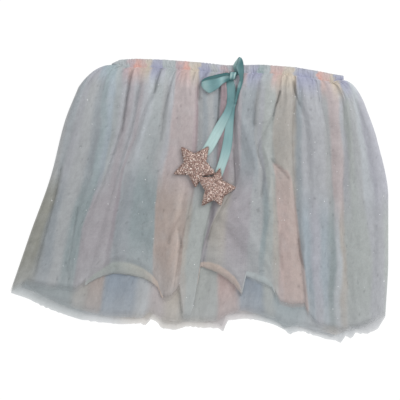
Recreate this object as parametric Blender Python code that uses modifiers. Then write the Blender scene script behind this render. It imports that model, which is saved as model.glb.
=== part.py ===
"""Child's tulle skirt laid flat: two gathered tulle layers, an elastic waist casing and a ribbon bow with two stars.

X runs across the skirt, +Y points to the waist and +Z up from the surface that it lies on.
Tables are in millimetres, from the middle of the skirt's outline and the surface that it lies on.
"""

import math

import bmesh
import bpy
from mathutils import Matrix, Vector
from mathutils.bvhtree import BVHTree

MM = 0.001

# Driving dimensions
SEAM_GAP = 0.5
LAYER_GAP = 0.3
BACK_WALL = 1.4
UNDER_WALL = 1.5
OUTER_WALL = 2.0
BAND_HEIGHT = 9.5
BAND_WALL = 1.8
BAND_RUFFLE = 0.9
BAND_INSIDE = 3.6
RIBBON_WALL = 1.0
STAR_NOTCH = 0.53
STAR_THICK = 5.0

# Heights of the stacked layers, each resting on the one below
UNDER_BACK_Z = BACK_WALL + LAYER_GAP
UNDER_FRONT_Z = UNDER_BACK_Z + BACK_WALL + LAYER_GAP
UNDER_HIDDEN_WAVE = 1.0
UNDER_SHOWN_WAVE = 3.4
OUTER_FLOOR_Z = UNDER_FRONT_Z + UNDER_WALL + UNDER_HIDDEN_WAVE + LAYER_GAP
OUTER_EDGE_Z = UNDER_BACK_Z

# Side edges: the outer front rolls down to the back over ROLL, and the under layers stop INSET short of them
ROLL = 8.0
INSET = 11.0

# The levels down the cloth at which the folds are placed, as shares of its length from waist to hem
LEVELS = (0.0, 0.1, 0.25, 0.5, 0.75, 1.0)
SPREAD_POWER = 0.45

# Each row is a crease of the outer front: where it lies across at the levels above.
# crest is the height of the fold to its right, and lean moves that fold's ridge left (-) or right (+).
CREASES = (
    # waist, yoke, hip, mid, low, hem, crest, lean
    (-91, -127, -141, -156, -177, -198, 3.0, 0.0),
    (-88, -119, -130, -147, -160, -181, 6.0, -0.2),
    (-84, -100, -107, -118, -134, -145, 3.5, 0.0),
    (-78, -89, -92, -107, -128, -139, 5.0, 0.5),
    (-70, -75, -81, -99, -122, -133, 4.0, -0.1),
    (-62, -65, -70, -86, -102, -117, 5.5, -0.2),
    (-39, -48, -61, -76, -86, -99, 8.0, -0.4),
    (-22, -31, -40, -53, -59, -62, 4.0, 0.0),
    (-16, -26, -28, -28, -45, -46, 9.0, 0.6),
    (0, -2, -3, -6, -19, -28, 4.0, -0.1),
    (23, 20, 19, 18, 10, 1, 2.5, 0.0),
    (40, 38, 36, 37, 21, 4, 10.0, -0.5),
    (66, 60, 57, 65, 56, 44, 5.0, 0.2),
    (86, 82, 76, 78, 85, 89, 9.0, 0.3),
    (99, 99, 97, 99, 105, 111, 3.0, 0.0),
    (103, 105, 112, 114, 113, 117, 6.0, -0.3),
    (124, 128, 135, 139, 137, 135, 5.5, 0.3),
    (137, 150, 152, 149, 152, 158, 6.5, -0.2),
    (142, 163, 174, 181, 183, 185, 4.0, 0.0),
    (149, 173, 186, 198, 198, 195, 0.0, 0.0),
)

# The top edge of the waist casing, x and y
BAND_TOP = (
    (-93, 144), (-83, 147.4), (-67, 148.4), (-36, 147.4), (1, 144.6), (28, 141.6), (66, 142.2), (100, 139.6), (127, 135),
    (139, 132.5), (151, 130.5),
)
BAND_END_HEIGHT = 4.5
BAND_END_TAPER = 13.0

# Hem of the outer front: x, y and how far the edge is lifted off the layer below
OUTER_HEM = (
    (-198, -94, 0), (-181, -86, 0), (-162, -91, 0), (-144, -93, 0), (-129, -95, 1), (-120, -88, 2), (-112, -77, 3),
    (-100, -69, 5), (-84, -64, 6), (-71, -65, 6), (-62, -69, 5), (-53, -77, 3), (-47, -93, 2), (-41, -106, 1),
    (-29, -97, 2), (-24, -112, 0), (-18, -124, 0), (-9, -123, 0), (-4, -104, 1), (1, -65, 3), (14, -67, 5),
    (26, -73, 6), (37, -82, 6), (44, -94, 4), (46, -76, 1), (57, -81, 2), (69, -86, 2), (77, -94, 1), (83, -107, 0),
    (95, -111, 0), (110, -110, 1), (113, -118, 0), (122, -129, 0), (135, -134, 0), (150, -136, 0), (164, -133, 0),
    (178, -128, 0), (195, -119, 0),
)

# Hem of the outer back, the lowest outline of the skirt: x and y
BACK_HEM = (
    (-198, -97), (-180, -103), (-162, -112), (-144, -119), (-125, -125), (-104, -128), (-81, -130), (-62, -129),
    (-56, -131), (-51, -124), (-44, -128), (-40, -134), (-26, -136), (-13, -132), (1, -133.5), (20, -134), (25, -138),
    (29, -126), (48, -124), (64, -126), (80, -131), (90, -136), (94, -141), (100, -138), (107, -137), (119, -141),
    (131, -145), (143, -147), (149, -150), (152, -142), (160, -145), (163, -139), (176, -140), (187, -135), (195, -122),
)

# Hem of the under front, which shows between the two hems above: x and y
UNDER_HEM = (
    (-188, -88), (-167, -101), (-146, -108), (-123, -115), (-100, -120), (-78, -122), (-60, -123), (-51, -117),
    (-41, -124), (-20, -127), (1, -127), (20, -126), (30, -120), (48, -115), (66, -119), (81, -124), (93, -132),
    (106, -131), (127, -136), (146, -141), (158, -136), (177, -133), (188, -126),
)
UNDER_BACK_RISE = 6.0

# Ribbon pieces: x, y, height above what lies below, width, and the direction that the width points to, in degrees
KNOT_AT = (34.0, 130.3)
KNOT_SIZE = (9.5, 7.6, 5.5)
LEFT_LOOP = (
    (28.9, 128.6, 3.4, 5.0, 100), (23.5, 125.4, 4.6, 8.0, 108), (17.3, 121.4, 5.0, 9.5, 112), (10.5, 118.4, 4.2, 11.0, 122),
    (6.0, 116.6, 2.5, 12.5, 128), (8.0, 119.6, 1.1, 11.0, 124), (14, 123.6, 0.6, 9.5, 112), (21, 127.6, 0.6, 8.0, 104),
    (28.9, 129.8, 0.6, 5.0, 98),
)
RIGHT_LOOP = (
    (35.4, 134.9, 0.6, 4.6, 20), (36.2, 138.0, 0.6, 7.5, 42), (37.3, 142.0, 1.0, 9.6, 54), (38.4, 145.5, 2.5, 10.4, 56),
    (39.8, 143.0, 4.2, 10.0, 44), (41.0, 140.2, 4.6, 9.2, 32), (41.5, 135.4, 4.4, 8.0, 16), (42.6, 129.4, 4.0, 5.6, 8),
    (43.4, 124.8, 3.6, 3.4, 0),
)
LEFT_TAIL = (
    (33.0, 125.0, 0, 7.4, 0), (33.2, 120.8, 0, 8.8, 0), (33.7, 113, 0, 9.0, 0), (33.6, 105, 0, 9.0, -4),
    (32.1, 96.6, 0, 9.0, -16), (28.5, 88.6, 0, 9.0, -28), (20.5, 73.5, 0, 9.2, -32), (14.2, 63, 0, 9.5, -33),
    (8.4, 54.6, 0, 9.5, -34), (5.4, 50.2, 0, 9.5, -34),
)
RIGHT_TAIL = (
    (43.2, 123.2, 0, 3.4, 0), (41.2, 118.6, 0, 5.4, -4), (38.2, 112.6, 0, 7.4, -8), (35.2, 105, 0, 8.2, -12),
    (32.8, 97.7, 0, 9.0, -12), (31.2, 89.3, 0, 9.2, -8), (30.2, 80, 0, 9.2, -8), (29.2, 69, 0, 9.2, -10),
    (27.4, 57.8, 0, 9.2, -12), (24.2, 44.4, 0, 9.2, -13), (21.4, 32.5, 0, 8.6, -13),
)
TAIL_STEP = 4.0

# Stars: centre, direction of the first tip in degrees, reach of the tips, and how far the left side is raised, per mm
STARS = {
    "star_left": (-4.2, 35.7, 55, 23.4, 0.0),
    "star_right": (16.1, 12.0, 75, 22.8, 0.12),
}
STAR_PRESS = 0.7
STAR_PRESS_REACH = 34.0


def clamp01(value):
    return max(0.0, min(1.0, value))


def ease(value):
    """0 to 1 with a level start and end."""
    t = clamp01(value)
    return t * t * (3 - 2 * t)


def along(rows, x, column=1):
    """Reads a table's column at x, straight between its rows."""
    for low, high in zip(rows, rows[1:]):
        if x <= high[0]:
            t = clamp01((x - low[0]) / (high[0] - low[0]))
            return low[column] + (high[column] - low[column]) * t
    return rows[-1][column]


def smooth_through(places, values, at):
    """A smooth curve through values at rising places, with no overshoot between them."""
    steps = [(b - a) / (q - p) for p, q, a, b in zip(places, places[1:], values, values[1:])]
    slopes = [steps[0]]
    for before, after in zip(steps, steps[1:]):
        slopes.append(0.0 if before * after <= 0 else 2 * before * after / (before + after))
    slopes.append(steps[-1])
    i = next((k for k in range(len(steps)) if at <= places[k + 1]), len(steps) - 1)
    span = places[i + 1] - places[i]
    t = (at - places[i]) / span
    start = (1 + 2 * t) * (1 - t) ** 2 * values[i] + t * (1 - t) ** 2 * span * slopes[i]
    end = t * t * (3 - 2 * t) * values[i + 1] + t * t * (t - 1) * span * slopes[i + 1]
    return start + end


def crease_x(row, v):
    """Where a crease lies across the skirt at share v of the length. Cloth spreads fast below the waist."""
    if v < LEVELS[1]:
        return row[0] + (row[1] - row[0]) * (v / LEVELS[1]) ** SPREAD_POWER
    return smooth_through(LEVELS[1:], row[1:6], v)


def band_height(x):
    """The casing is bunched narrower at its two ends, where it turns to the back."""
    share = ease(min(x - BAND_TOP[0][0], BAND_TOP[-1][0] - x) / BAND_END_TAPER)
    return BAND_END_HEIGHT + (BAND_HEIGHT - BAND_END_HEIGHT) * share


def seam_y(x):
    """Lower edge of the waist casing, where every layer is gathered in."""
    return along(BAND_TOP, x) - band_height(x)


def pressed(x, y):
    """How much the stars' weight leaves of a fold's height."""
    left = 1.0
    for star in STARS.values():
        near = 1 - math.hypot(x - star[0], y - star[1]) / STAR_PRESS_REACH
        left = min(left, 1 - STAR_PRESS * ease(near * 2))
    return left


# Cloth sheets: a grid laid out by a function, then drawn down by the wall's thickness


def sheet(name, columns, rows, place, wall):
    """A closed sheet of cloth. place(i, j) gives the upper side's point in mm, and wall its thickness."""
    mesh = bmesh.new()
    bmesh.ops.create_grid(mesh, x_segments=columns, y_segments=rows, size=0.5)
    mesh.verts.ensure_lookup_table()
    for vert in mesh.verts:
        i = round((vert.co.x + 0.5) * columns)
        j = round((0.5 - vert.co.y) * rows)
        vert.co = Vector(place(i, j)) * MM
    upper = list(mesh.faces)
    lower = bmesh.ops.extrude_face_region(mesh, geom=upper, use_keep_orig=True)["geom"]
    for item in lower:
        if isinstance(item, bmesh.types.BMVert):
            item.co.z -= wall * MM
    bmesh.ops.recalc_face_normals(mesh, faces=mesh.faces)
    return finish_object(name, mesh)


def finish_object(name, mesh):
    """Turns a bmesh into a smooth-shaded object of the skirt's collection."""
    data = bpy.data.meshes.new(name)
    mesh.to_mesh(data)
    mesh.free()
    data.shade_smooth()
    obj = bpy.data.objects.new(name, data)
    PARTS.objects.link(obj)
    return obj


FOLD_COLUMNS = 6
OUTER_ROWS = (0.0, 0.02, 0.05, 0.1, 0.17, 0.26, 0.37, 0.48, 0.6, 0.72, 0.83, 0.92, 1.0)
GATHER = 1.1
GATHER_END = 0.2
CREST_START = 0.16
SLOPE_LIMIT = 0.34
LIFT_START = 0.74


def ridge(t, lean):
    """Height across one fold, 0 at its creases and 1 at its ridge."""
    peak = 0.5 + 0.3 * lean
    side = t / peak if t < peak else (1 - t) / (1 - peak)
    return math.sin(math.pi / 2 * clamp01(side))


def outer_front_point(i, j):
    """Upper side of the outer front: folds between the creases, gathers at the waist and lifted hem edges."""
    fold = min(i // FOLD_COLUMNS, len(CREASES) - 2)
    t = i / FOLD_COLUMNS - fold
    v = OUTER_ROWS[j]
    left, right = CREASES[fold], CREASES[fold + 1]
    left_x, right_x = crease_x(left, v), crease_x(right, v)
    x = left_x + (right_x - left_x) * t
    waist_x = left[0] + (right[0] - left[0]) * t
    hem_x = left[5] + (right[5] - left[5]) * t
    top_y = seam_y(waist_x) - SEAM_GAP
    y = top_y + (along(OUTER_HEM, hem_x) - top_y) * v
    edge = min(x - crease_x(CREASES[0], v), crease_x(CREASES[-1], v) - x)
    floor = OUTER_EDGE_Z + (OUTER_FLOOR_Z - OUTER_EDGE_Z) * ease(edge / ROLL)
    crest = min(left[6], SLOPE_LIMIT * (right_x - left_x)) * ease(v / CREST_START + 0.3)
    z = floor + crest * ridge(t, left[7]) * pressed(x, y)
    if i % 2:
        z += GATHER * min(1.0, (right_x - left_x) / 12) * (1 - ease(v / GATHER_END))
    z += along(OUTER_HEM, hem_x, 2) * ease((v - LIFT_START) / (1 - LIFT_START)) ** 1.5
    return x, y, z + OUTER_WALL


def make_outer_front():
    columns = FOLD_COLUMNS * (len(CREASES) - 1)
    return sheet("outer_front", columns, len(OUTER_ROWS) - 1, outer_front_point, OUTER_WALL)


def side_x(v, side, inset):
    """The side edges of a layer: -1 is the left one."""
    row = CREASES[0] if side < 0 else CREASES[-1]
    return crease_x(row, v) - side * inset


BACK_ROWS = (0.0, 0.02, 0.05, 0.1, 0.2, 0.4, 0.62, 0.82, 1.0)


def make_back(name, inset, hem_rise, floor):
    """A back layer: flat, one column of points for each turn of its ragged hem."""
    first, last = BACK_HEM[0][0], BACK_HEM[-1][0]
    waist_left, waist_right = side_x(0, -1, inset), side_x(0, 1, inset)

    def point(i, j):
        v = BACK_ROWS[j]
        share = (BACK_HEM[i][0] - first) / (last - first)
        left, right = side_x(v, -1, inset), side_x(v, 1, inset)
        top_y = seam_y(waist_left + (waist_right - waist_left) * share) - SEAM_GAP
        hem_y = BACK_HEM[i][1] + hem_rise
        return left + (right - left) * share, top_y + (hem_y - top_y) * v, floor + BACK_WALL

    return sheet(name, len(BACK_HEM) - 1, len(BACK_ROWS) - 1, point, BACK_WALL)


UNDER_FOLDS = 22
UNDER_COLUMNS = 66
UNDER_ROWS = (0.0, 0.02, 0.05, 0.1, 0.22, 0.45, 0.7, 0.82, 0.91, 1.0)
SHOWN_START = 7.0
SHOWN_RAMP = 12.0


def under_front_point(i, j):
    """Upper side of the under front: low gathers where it is covered, fuller waves below the outer hem."""
    v = UNDER_ROWS[j]
    share = i / UNDER_COLUMNS
    left, right = side_x(v, -1, INSET), side_x(v, 1, INSET)
    waist_x = side_x(0, -1, INSET) + (side_x(0, 1, INSET) - side_x(0, -1, INSET)) * share
    hem_x = UNDER_HEM[0][0] + (UNDER_HEM[-1][0] - UNDER_HEM[0][0]) * share
    x = left + (right - left) * share
    top_y = seam_y(waist_x) - SEAM_GAP
    y = top_y + (along(UNDER_HEM, hem_x) - top_y) * v
    wave = 0.5 + 0.5 * math.sin(2 * math.pi * UNDER_FOLDS * share + 1.3 * math.sin(9 * share))
    below_outer = along(OUTER_HEM, x) - y - SHOWN_START
    height = UNDER_HIDDEN_WAVE + (UNDER_SHOWN_WAVE - UNDER_HIDDEN_WAVE) * ease(below_outer / SHOWN_RAMP)
    return x, y, UNDER_FRONT_Z + UNDER_WALL + height * wave


def make_under_front():
    return sheet("under_front", UNDER_COLUMNS, len(UNDER_ROWS) - 1, under_front_point, UNDER_WALL)


# Waist casing: one strip closed into a ring and laid flat, ruched along its front

BAND_FRONT_STATIONS = 76
BAND_BACK_STATIONS = 20
BAND_END_STATIONS = 5
BAND_ROWS = 2
BAND_BACK_Z = BAND_WALL / 2
BAND_FRONT_Z = BAND_BACK_Z + BAND_WALL + BAND_INSIDE


def band_path():
    """The ring's stations: x, z and how much it is ruched there."""
    left, right = BAND_TOP[0][0], BAND_TOP[-1][0]
    middle, radius = (BAND_FRONT_Z + BAND_BACK_Z) / 2, (BAND_FRONT_Z - BAND_BACK_Z) / 2
    left, right = left + radius, right - radius
    path = []
    for k in range(BAND_FRONT_STATIONS + 1):
        x = left + (right - left) * k / BAND_FRONT_STATIONS
        path.append((x, BAND_FRONT_Z, k % 2 if 0 < k < BAND_FRONT_STATIONS else 0))
    for k in range(1, BAND_END_STATIONS):
        turn = math.pi * (0.5 - k / BAND_END_STATIONS)
        path.append((right + radius * math.cos(turn), middle + radius * math.sin(turn), 0))
    for k in range(BAND_BACK_STATIONS + 1):
        path.append((right - (right - left) * k / BAND_BACK_STATIONS, BAND_BACK_Z, 0))
    for k in range(1, BAND_END_STATIONS):
        turn = math.pi * (1.5 - k / BAND_END_STATIONS)
        path.append((left + radius * math.cos(turn), middle + radius * math.sin(turn), 0))
    return path


def make_waistband():
    """A ring strip with a wall of BAND_WALL, thicker between its gathers and with a wavy top edge."""
    mesh = bmesh.new()
    path = band_path()
    rings = []
    for row in range(BAND_ROWS + 1):
        ring = []
        for x, z, ruche in path:
            share = row / BAND_ROWS
            height = band_height(x)
            y = along(BAND_TOP, x) - height * share
            if row == 0:
                y -= BAND_RUFFLE * ruche
            swell = BAND_RUFFLE * ruche * math.sin(math.pi * (0.25 + 0.5 * share))
            ring.append(mesh.verts.new(Vector((x, y, z + swell)) * MM))
        rings.append(ring)
    edges = []
    for ring in rings:
        for k, vert in enumerate(ring):
            edges.append(mesh.edges.new((vert, ring[(k + 1) % len(ring)])))
    for k in range(BAND_ROWS):
        bmesh.ops.bridge_loops(mesh, edges=[e for e in edges if e.verts[0] in rings[k] or e.verts[0] in rings[k + 1]])
    bmesh.ops.recalc_face_normals(mesh, faces=mesh.faces)
    band = finish_object("waistband", mesh)
    wall = band.modifiers.new("wall", "SOLIDIFY")
    wall.thickness = BAND_WALL * MM
    wall.offset = 0
    return band


# Ribbon and stars lie on the cloth, so their heights are read from it


def surface_under(objects):
    """A function that gives the highest point of these objects at x, y in mm, or 0 where there is none."""
    graph = bpy.context.evaluated_depsgraph_get()
    trees = [BVHTree.FromObject(obj, graph) for obj in objects]
    sky = 0.2

    def top(x, y):
        heights = [0.0]
        for tree in trees:
            hit = tree.ray_cast(Vector((x * MM, y * MM, sky)), Vector((0, 0, -1)))[0]
            if hit is not None:
                heights.append(hit.z / MM)
        return max(heights)

    return top


def settle(obj, below):
    """Lowers a piece until it lies LAYER_GAP above what is below it."""
    bpy.context.view_layer.update()
    graph = bpy.context.evaluated_depsgraph_get()
    own = BVHTree.FromObject(obj, graph)
    down, up = Vector((0, 0, -1)), Vector((0, 0, 1))
    room = []
    for item in below:
        tree = BVHTree.FromObject(item, graph)
        room += [tree.ray_cast(vert.co, down)[3] for vert in obj.evaluated_get(graph).data.vertices]
        room += [own.ray_cast(vert.co, up)[3] for vert in item.evaluated_get(graph).data.vertices]
    drop = min(distance for distance in room if distance is not None) - LAYER_GAP * MM
    obj.data.transform(Matrix.Translation((0, 0, -drop)))
    bpy.context.view_layer.update()


def ribbon_section(row):
    """Centre and half width vector of a ribbon table's row, flat across."""
    turn = math.radians(row[4])
    half = Vector((math.cos(turn), math.sin(turn), 0)) * row[3] / 2
    return Vector((row[0], row[1], 0)), half


def highest_across(top, centre, half, reach):
    """The highest point below a ribbon's width, and a little before and after it."""
    step = Vector((-half.y, half.x, 0)).normalized() * reach
    shares = (-1.0, -0.6, -0.2, 0.2, 0.6, 1.0)
    spots = [centre + half * s + step * ahead for s in shares for ahead in (-1, -0.5, 0, 0.5, 1)]
    return max(top(spot.x, spot.y) for spot in spots)


def resampled(rows, step):
    """A ribbon table's rows with more between them, along a smooth curve."""
    lengths = [0.0]
    for a, b in zip(rows, rows[1:]):
        lengths.append(lengths[-1] + math.dist(a[:2], b[:2]))
    count = max(2, round(lengths[-1] / step))
    columns = list(zip(*rows))
    found = []
    for k in range(count + 1):
        at = lengths[-1] * k / count
        found.append(tuple(smooth_through(lengths, column, at) for column in columns))
    return found


def strip(name, sections):
    """A ribbon wall through its sections, each a centre and a half width vector, in mm."""
    mesh = bmesh.new()
    bmesh.ops.create_grid(mesh, x_segments=len(sections) - 1, y_segments=2, size=0.5)
    for vert in mesh.verts:
        centre, half = sections[round((vert.co.x + 0.5) * (len(sections) - 1))]
        vert.co = (centre + half * round(vert.co.y * 2)) * MM
    ribbon = finish_object(name, mesh)
    wall = ribbon.modifiers.new("wall", "SOLIDIFY")
    wall.thickness = RIBBON_WALL * MM
    wall.offset = 0
    return ribbon


def make_loop(name, rows, top):
    """A bow loop: out from the knot and back to it, over a level height above what it lies on."""
    sections = [ribbon_section(row) for row in rows]
    base = max(highest_across(top, centre, half, 1.0) for centre, half in sections)
    for (centre, _), row in zip(sections, rows):
        centre.z = base + LAYER_GAP + RIBBON_WALL / 2 + row[2]
    return strip(name, sections)


def make_tail(name, rows, top):
    """A ribbon tail that follows the folds below it."""
    sections = [ribbon_section(row) for row in resampled(rows, TAIL_STEP)]
    heights = [highest_across(top, centre, half, TAIL_STEP) for centre, half in sections]
    for k, (centre, _) in enumerate(sections):
        centre.z = heights[k] + LAYER_GAP + RIBBON_WALL / 2
    return strip(name, sections)


def make_knot(top):
    """The wrapped knot: a soft block on the casing."""
    mesh = bmesh.new()
    bmesh.ops.create_cube(mesh, size=1.0)
    wide, deep, thick = (1.18 * size for size in KNOT_SIZE)
    x, y = KNOT_AT
    spots = [(x + dx * wide / 2, y + dy * deep / 2) for dx in (-1, -0.5, 0, 0.5, 1) for dy in (-1, -0.5, 0, 0.5, 1)]
    base = max(top(*spot) for spot in spots) + LAYER_GAP
    for vert in mesh.verts:
        size = Vector((vert.co.x * wide, vert.co.y * deep, vert.co.z * thick))
        vert.co = (Vector((x, y, base + thick / 2)) + size) * MM
    knot = finish_object("bow_knot", mesh)
    soft = knot.modifiers.new("soft", "SUBSURF")
    soft.levels = soft.render_levels = 2
    return knot


def star_outline(middle, turn, radius):
    """The star's outline: a blunt tip of three points and a notch, five times."""
    points = []
    for k in range(5):
        tip = math.radians(turn + 72 * k)
        for reach, offset in ((0.9, -7), (1.0, 0), (0.9, 7), (STAR_NOTCH, 36)):
            angle = tip + math.radians(offset)
            points.append(middle + Vector((math.cos(angle), math.sin(angle), 0)) * radius * reach)
    return points


def make_star(name, x, y, turn, radius, rise, top):
    """A padded star of two faces sewn round the edge, from a coarse cage. It may lean on what lies to its left."""
    middle = Vector((x, y, 0))
    outline = star_outline(middle, turn, radius)
    spots = [middle + (point - middle) * share for point in outline for share in (0.3, 0.6, 0.8, 0.95)]
    base = max(top(spot.x, spot.y) + rise * (spot.x - x) for spot in spots) + LAYER_GAP

    def at(point, height):
        return (point + Vector((0, 0, base - rise * (point.x - x) + STAR_THICK * height))) * MM

    mesh = bmesh.new()
    rings = []
    for share, height in ((0.84, 0.0), (1.0, 0.45), (0.84, 0.9)):
        rings.append([mesh.verts.new(at(middle + (point - middle) * share, height)) for point in outline])
    low = mesh.verts.new(at(middle, 0.0))
    high = mesh.verts.new(at(middle, 1.12))
    count = len(outline)
    for k in range(count):
        after = (k + 1) % count
        mesh.faces.new((rings[0][after], rings[0][k], low))
        mesh.faces.new((rings[2][k], rings[2][after], high))
        for lower, upper in zip(rings, rings[1:]):
            mesh.faces.new((lower[k], lower[after], upper[after], upper[k]))
    star = finish_object(name, mesh)
    soft = star.modifiers.new("soft", "SUBSURF")
    soft.levels = soft.render_levels = 1
    return star


def material(name, colour, roughness, metallic=0.0):
    """A Principled material of one colour, given as sRGB."""
    made = bpy.data.materials.new(name)
    made.use_nodes = True
    shader = made.node_tree.nodes["Principled BSDF"]
    linear = [channel / 12.92 if channel <= 0.04045 else ((channel + 0.055) / 1.055) ** 2.4 for channel in colour]
    shader.inputs["Base Color"].default_value = (*linear, 1.0)
    shader.inputs["Roughness"].default_value = roughness
    shader.inputs["Metallic"].default_value = metallic
    return made


def paint(objects, made):
    for obj in objects:
        obj.data.materials.append(made)


for old in list(bpy.data.objects):
    bpy.data.objects.remove(old)
PARTS = bpy.data.collections.new("tulle_skirt")
bpy.context.scene.collection.children.link(PARTS)

outer_back = make_back("outer_back", 0.0, 0.0, 0.0)
under_back = make_back("under_back", INSET, UNDER_BACK_RISE, UNDER_BACK_Z)
under_front = make_under_front()
outer_front = make_outer_front()
waistband = make_waistband()
bpy.context.view_layer.update()

cloth = [outer_front, waistband]
on_cloth = surface_under(cloth)
knot = make_knot(on_cloth)
left_loop = make_loop("bow_loop_left", LEFT_LOOP, on_cloth)
right_loop = make_loop("bow_loop_right", RIGHT_LOOP, on_cloth)
right_tail = make_tail("tail_right", RIGHT_TAIL, on_cloth)
for piece in (knot, left_loop, right_loop, right_tail):
    settle(piece, cloth)
left_tail = make_tail("tail_left", LEFT_TAIL, surface_under([*cloth, right_tail]))
settle(left_tail, [*cloth, right_tail])
tails = [left_tail, right_tail]
left_star = make_star("star_left", *STARS["star_left"], surface_under([outer_front, *tails]))
settle(left_star, [outer_front, *tails])
right_star = make_star("star_right", *STARS["star_right"], surface_under([outer_front, *tails, left_star]))
settle(right_star, [outer_front, *tails, left_star])

paint([outer_front, outer_back], material("striped tulle", (0.66, 0.67, 0.70), 0.8))
paint([under_front, under_back], material("under tulle", (0.62, 0.66, 0.69), 0.8))
paint([waistband], material("gathered casing", (0.68, 0.66, 0.68), 0.8))
paint([knot, left_loop, right_loop, *tails], material("satin ribbon", (0.42, 0.62, 0.62), 0.35))
paint([left_star, right_star], material("glitter fabric", (0.66, 0.52, 0.47), 0.3, 0.6))
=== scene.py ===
"""A child's tulle skirt laid flat on its back, seen from straight above.

Tables are in millimetres: X runs across the skirt, +Y points to the waist and Z is the height over the table.
"""

import bisect
import math

import bmesh
import bpy

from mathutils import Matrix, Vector, noise
from mathutils.bvhtree import BVHTree


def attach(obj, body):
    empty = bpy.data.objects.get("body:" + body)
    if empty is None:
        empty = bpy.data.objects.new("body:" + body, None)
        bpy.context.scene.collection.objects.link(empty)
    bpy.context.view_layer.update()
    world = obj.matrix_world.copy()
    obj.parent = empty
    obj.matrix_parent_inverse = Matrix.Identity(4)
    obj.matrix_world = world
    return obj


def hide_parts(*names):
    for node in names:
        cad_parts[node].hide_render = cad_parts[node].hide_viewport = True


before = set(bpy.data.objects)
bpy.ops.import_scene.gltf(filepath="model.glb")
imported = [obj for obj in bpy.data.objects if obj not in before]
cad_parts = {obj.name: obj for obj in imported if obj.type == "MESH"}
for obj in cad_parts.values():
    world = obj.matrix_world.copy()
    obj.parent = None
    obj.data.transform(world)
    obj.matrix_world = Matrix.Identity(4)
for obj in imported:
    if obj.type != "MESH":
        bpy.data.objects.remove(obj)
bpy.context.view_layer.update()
MM = 0.001


# The view
# A camera straight above the laid skirt, over a lit white table, in soft daylight from the waist's right.

VIEW_WIDTH = 420 * MM
VIEW_CENTRE = (0.5 * MM, 0.5 * MM)
CAMERA_HEIGHT = 1.6
SENSOR_WIDTH = 36
TABLE_REACH = 4

camera = bpy.data.objects.new("camera", bpy.data.cameras.new("camera"))
camera.data.sensor_width = SENSOR_WIDTH
camera.data.lens = SENSOR_WIDTH * CAMERA_HEIGHT / VIEW_WIDTH
camera.location = (*VIEW_CENTRE, CAMERA_HEIGHT)
bpy.context.scene.collection.objects.link(camera)
bpy.context.scene.camera = camera
bpy.context.scene.view_settings.view_transform = "Standard"


def linear(colour):
    """An sRGB hex colour as linear red, green, blue and alpha."""
    channels = [int(colour[k : k + 2], 16) / 255 for k in (1, 3, 5)]
    return [c / 12.92 if c <= 0.04045 else ((c + 0.055) / 1.055) ** 2.4 for c in channels] + [1.0]


def add_node(tree, kind, settings=None, links=None):
    """A node with its settings, and its inputs set to values or joined to other nodes' outputs."""
    made = tree.nodes.new(kind)
    for name, value in (settings or {}).items():
        setattr(made, name, value)
    for key, value in (links or {}).items():
        socket = made.inputs[key]
        if isinstance(value, bpy.types.NodeSocket):
            tree.links.new(value, socket)
        else:
            socket.default_value = value
    return made


def principled(name, values):
    """A material, its node tree and its Principled shader with plain values on the named inputs."""
    material = bpy.data.materials.new(name)
    material.use_nodes = True
    shader = material.node_tree.nodes["Principled BSDF"]
    for key, value in values.items():
        shader.inputs[key].default_value = value
    return material, material.node_tree, shader


def area_light(name, place, size, power):
    """A soft square light aimed at the skirt."""
    lamp = bpy.data.objects.new(name, bpy.data.lights.new(name, "AREA"))
    lamp.data.size = size
    lamp.data.energy = power
    lamp.location = place
    lamp.rotation_mode = "QUATERNION"
    lamp.rotation_quaternion = Vector(place).to_track_quat("Z", "Y")
    bpy.context.scene.collection.objects.link(lamp)


area_light("window", place=(0.95, 0.8, 1.25), size=1.1, power=18)
area_light("ceiling", place=(-0.5, -0.2, 1.9), size=1.6, power=9)

world = bpy.data.worlds.new("daylight")
world.use_nodes = True
background = world.node_tree.nodes["Background"]
background.inputs["Color"].default_value = linear("#f4f6fa")
background.inputs["Strength"].default_value = 0.62
bpy.context.scene.world = world

table_top = bpy.data.meshes.new("table_top")
table_corners = [(TABLE_REACH * x, TABLE_REACH * y, 0) for x, y in ((-1, -1), (1, -1), (1, 1), (-1, 1))]
table_top.from_pydata(table_corners, [], [(0, 1, 2, 3)])
table = bpy.data.objects.new("table", table_top)
bpy.context.scene.collection.objects.link(table)
table_white = principled("lit white acrylic", {
    "Base Color": linear("#5a5a5a"), "Roughness": 0.7,
    "Emission Color": linear("#ffffff"), "Emission Strength": 0.9,
})[0]
table.data.materials.append(table_white)


# Outer layer, back half
# The net's back half lies flat on the table, gathered into the waist above and cut raw at the hem.
# It is nylon tulle dyed in soft stripes, and shows only where its hem runs past the other layers.

SEAM_GAP = 0.15
BAND_HEIGHT = 9.5
BAND_END_HEIGHTS = (1.2, 4.0)
BAND_END_TAPER = 15.0
SPREAD_POWER = 0.45
NET_OF_BACKS = 0.8
BACK_HEM_FADE = 5.0
LAID_FULLNESS = 1.6
NET_HOLE = 1.6 * MM
NET_CLOUDS = 7.0 * MM
NET_GRAIN = 2.8 * MM

# The casing's top edge: x, y
BAND_TOP = (
    (-92, 143.2), (-83, 147.4), (-67, 148.4), (-36, 147.4), (1, 144.6), (28, 141.6), (66, 142.2),
    (100, 139.6), (127, 135), (139, 132.5), (151, 130.5),
)

# Places down the cloth as shares of its length, at waist, yoke, hip, mid, low and hem, and where the side
# edges lie at each
LEVELS = (0.0, 0.1, 0.25, 0.5, 0.75, 1.0)
LEFT_SIDE = (-91, -127, -141, -156, -177, -198)
RIGHT_SIDE = (149, 173, 186, 198, 198, 195)

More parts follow.
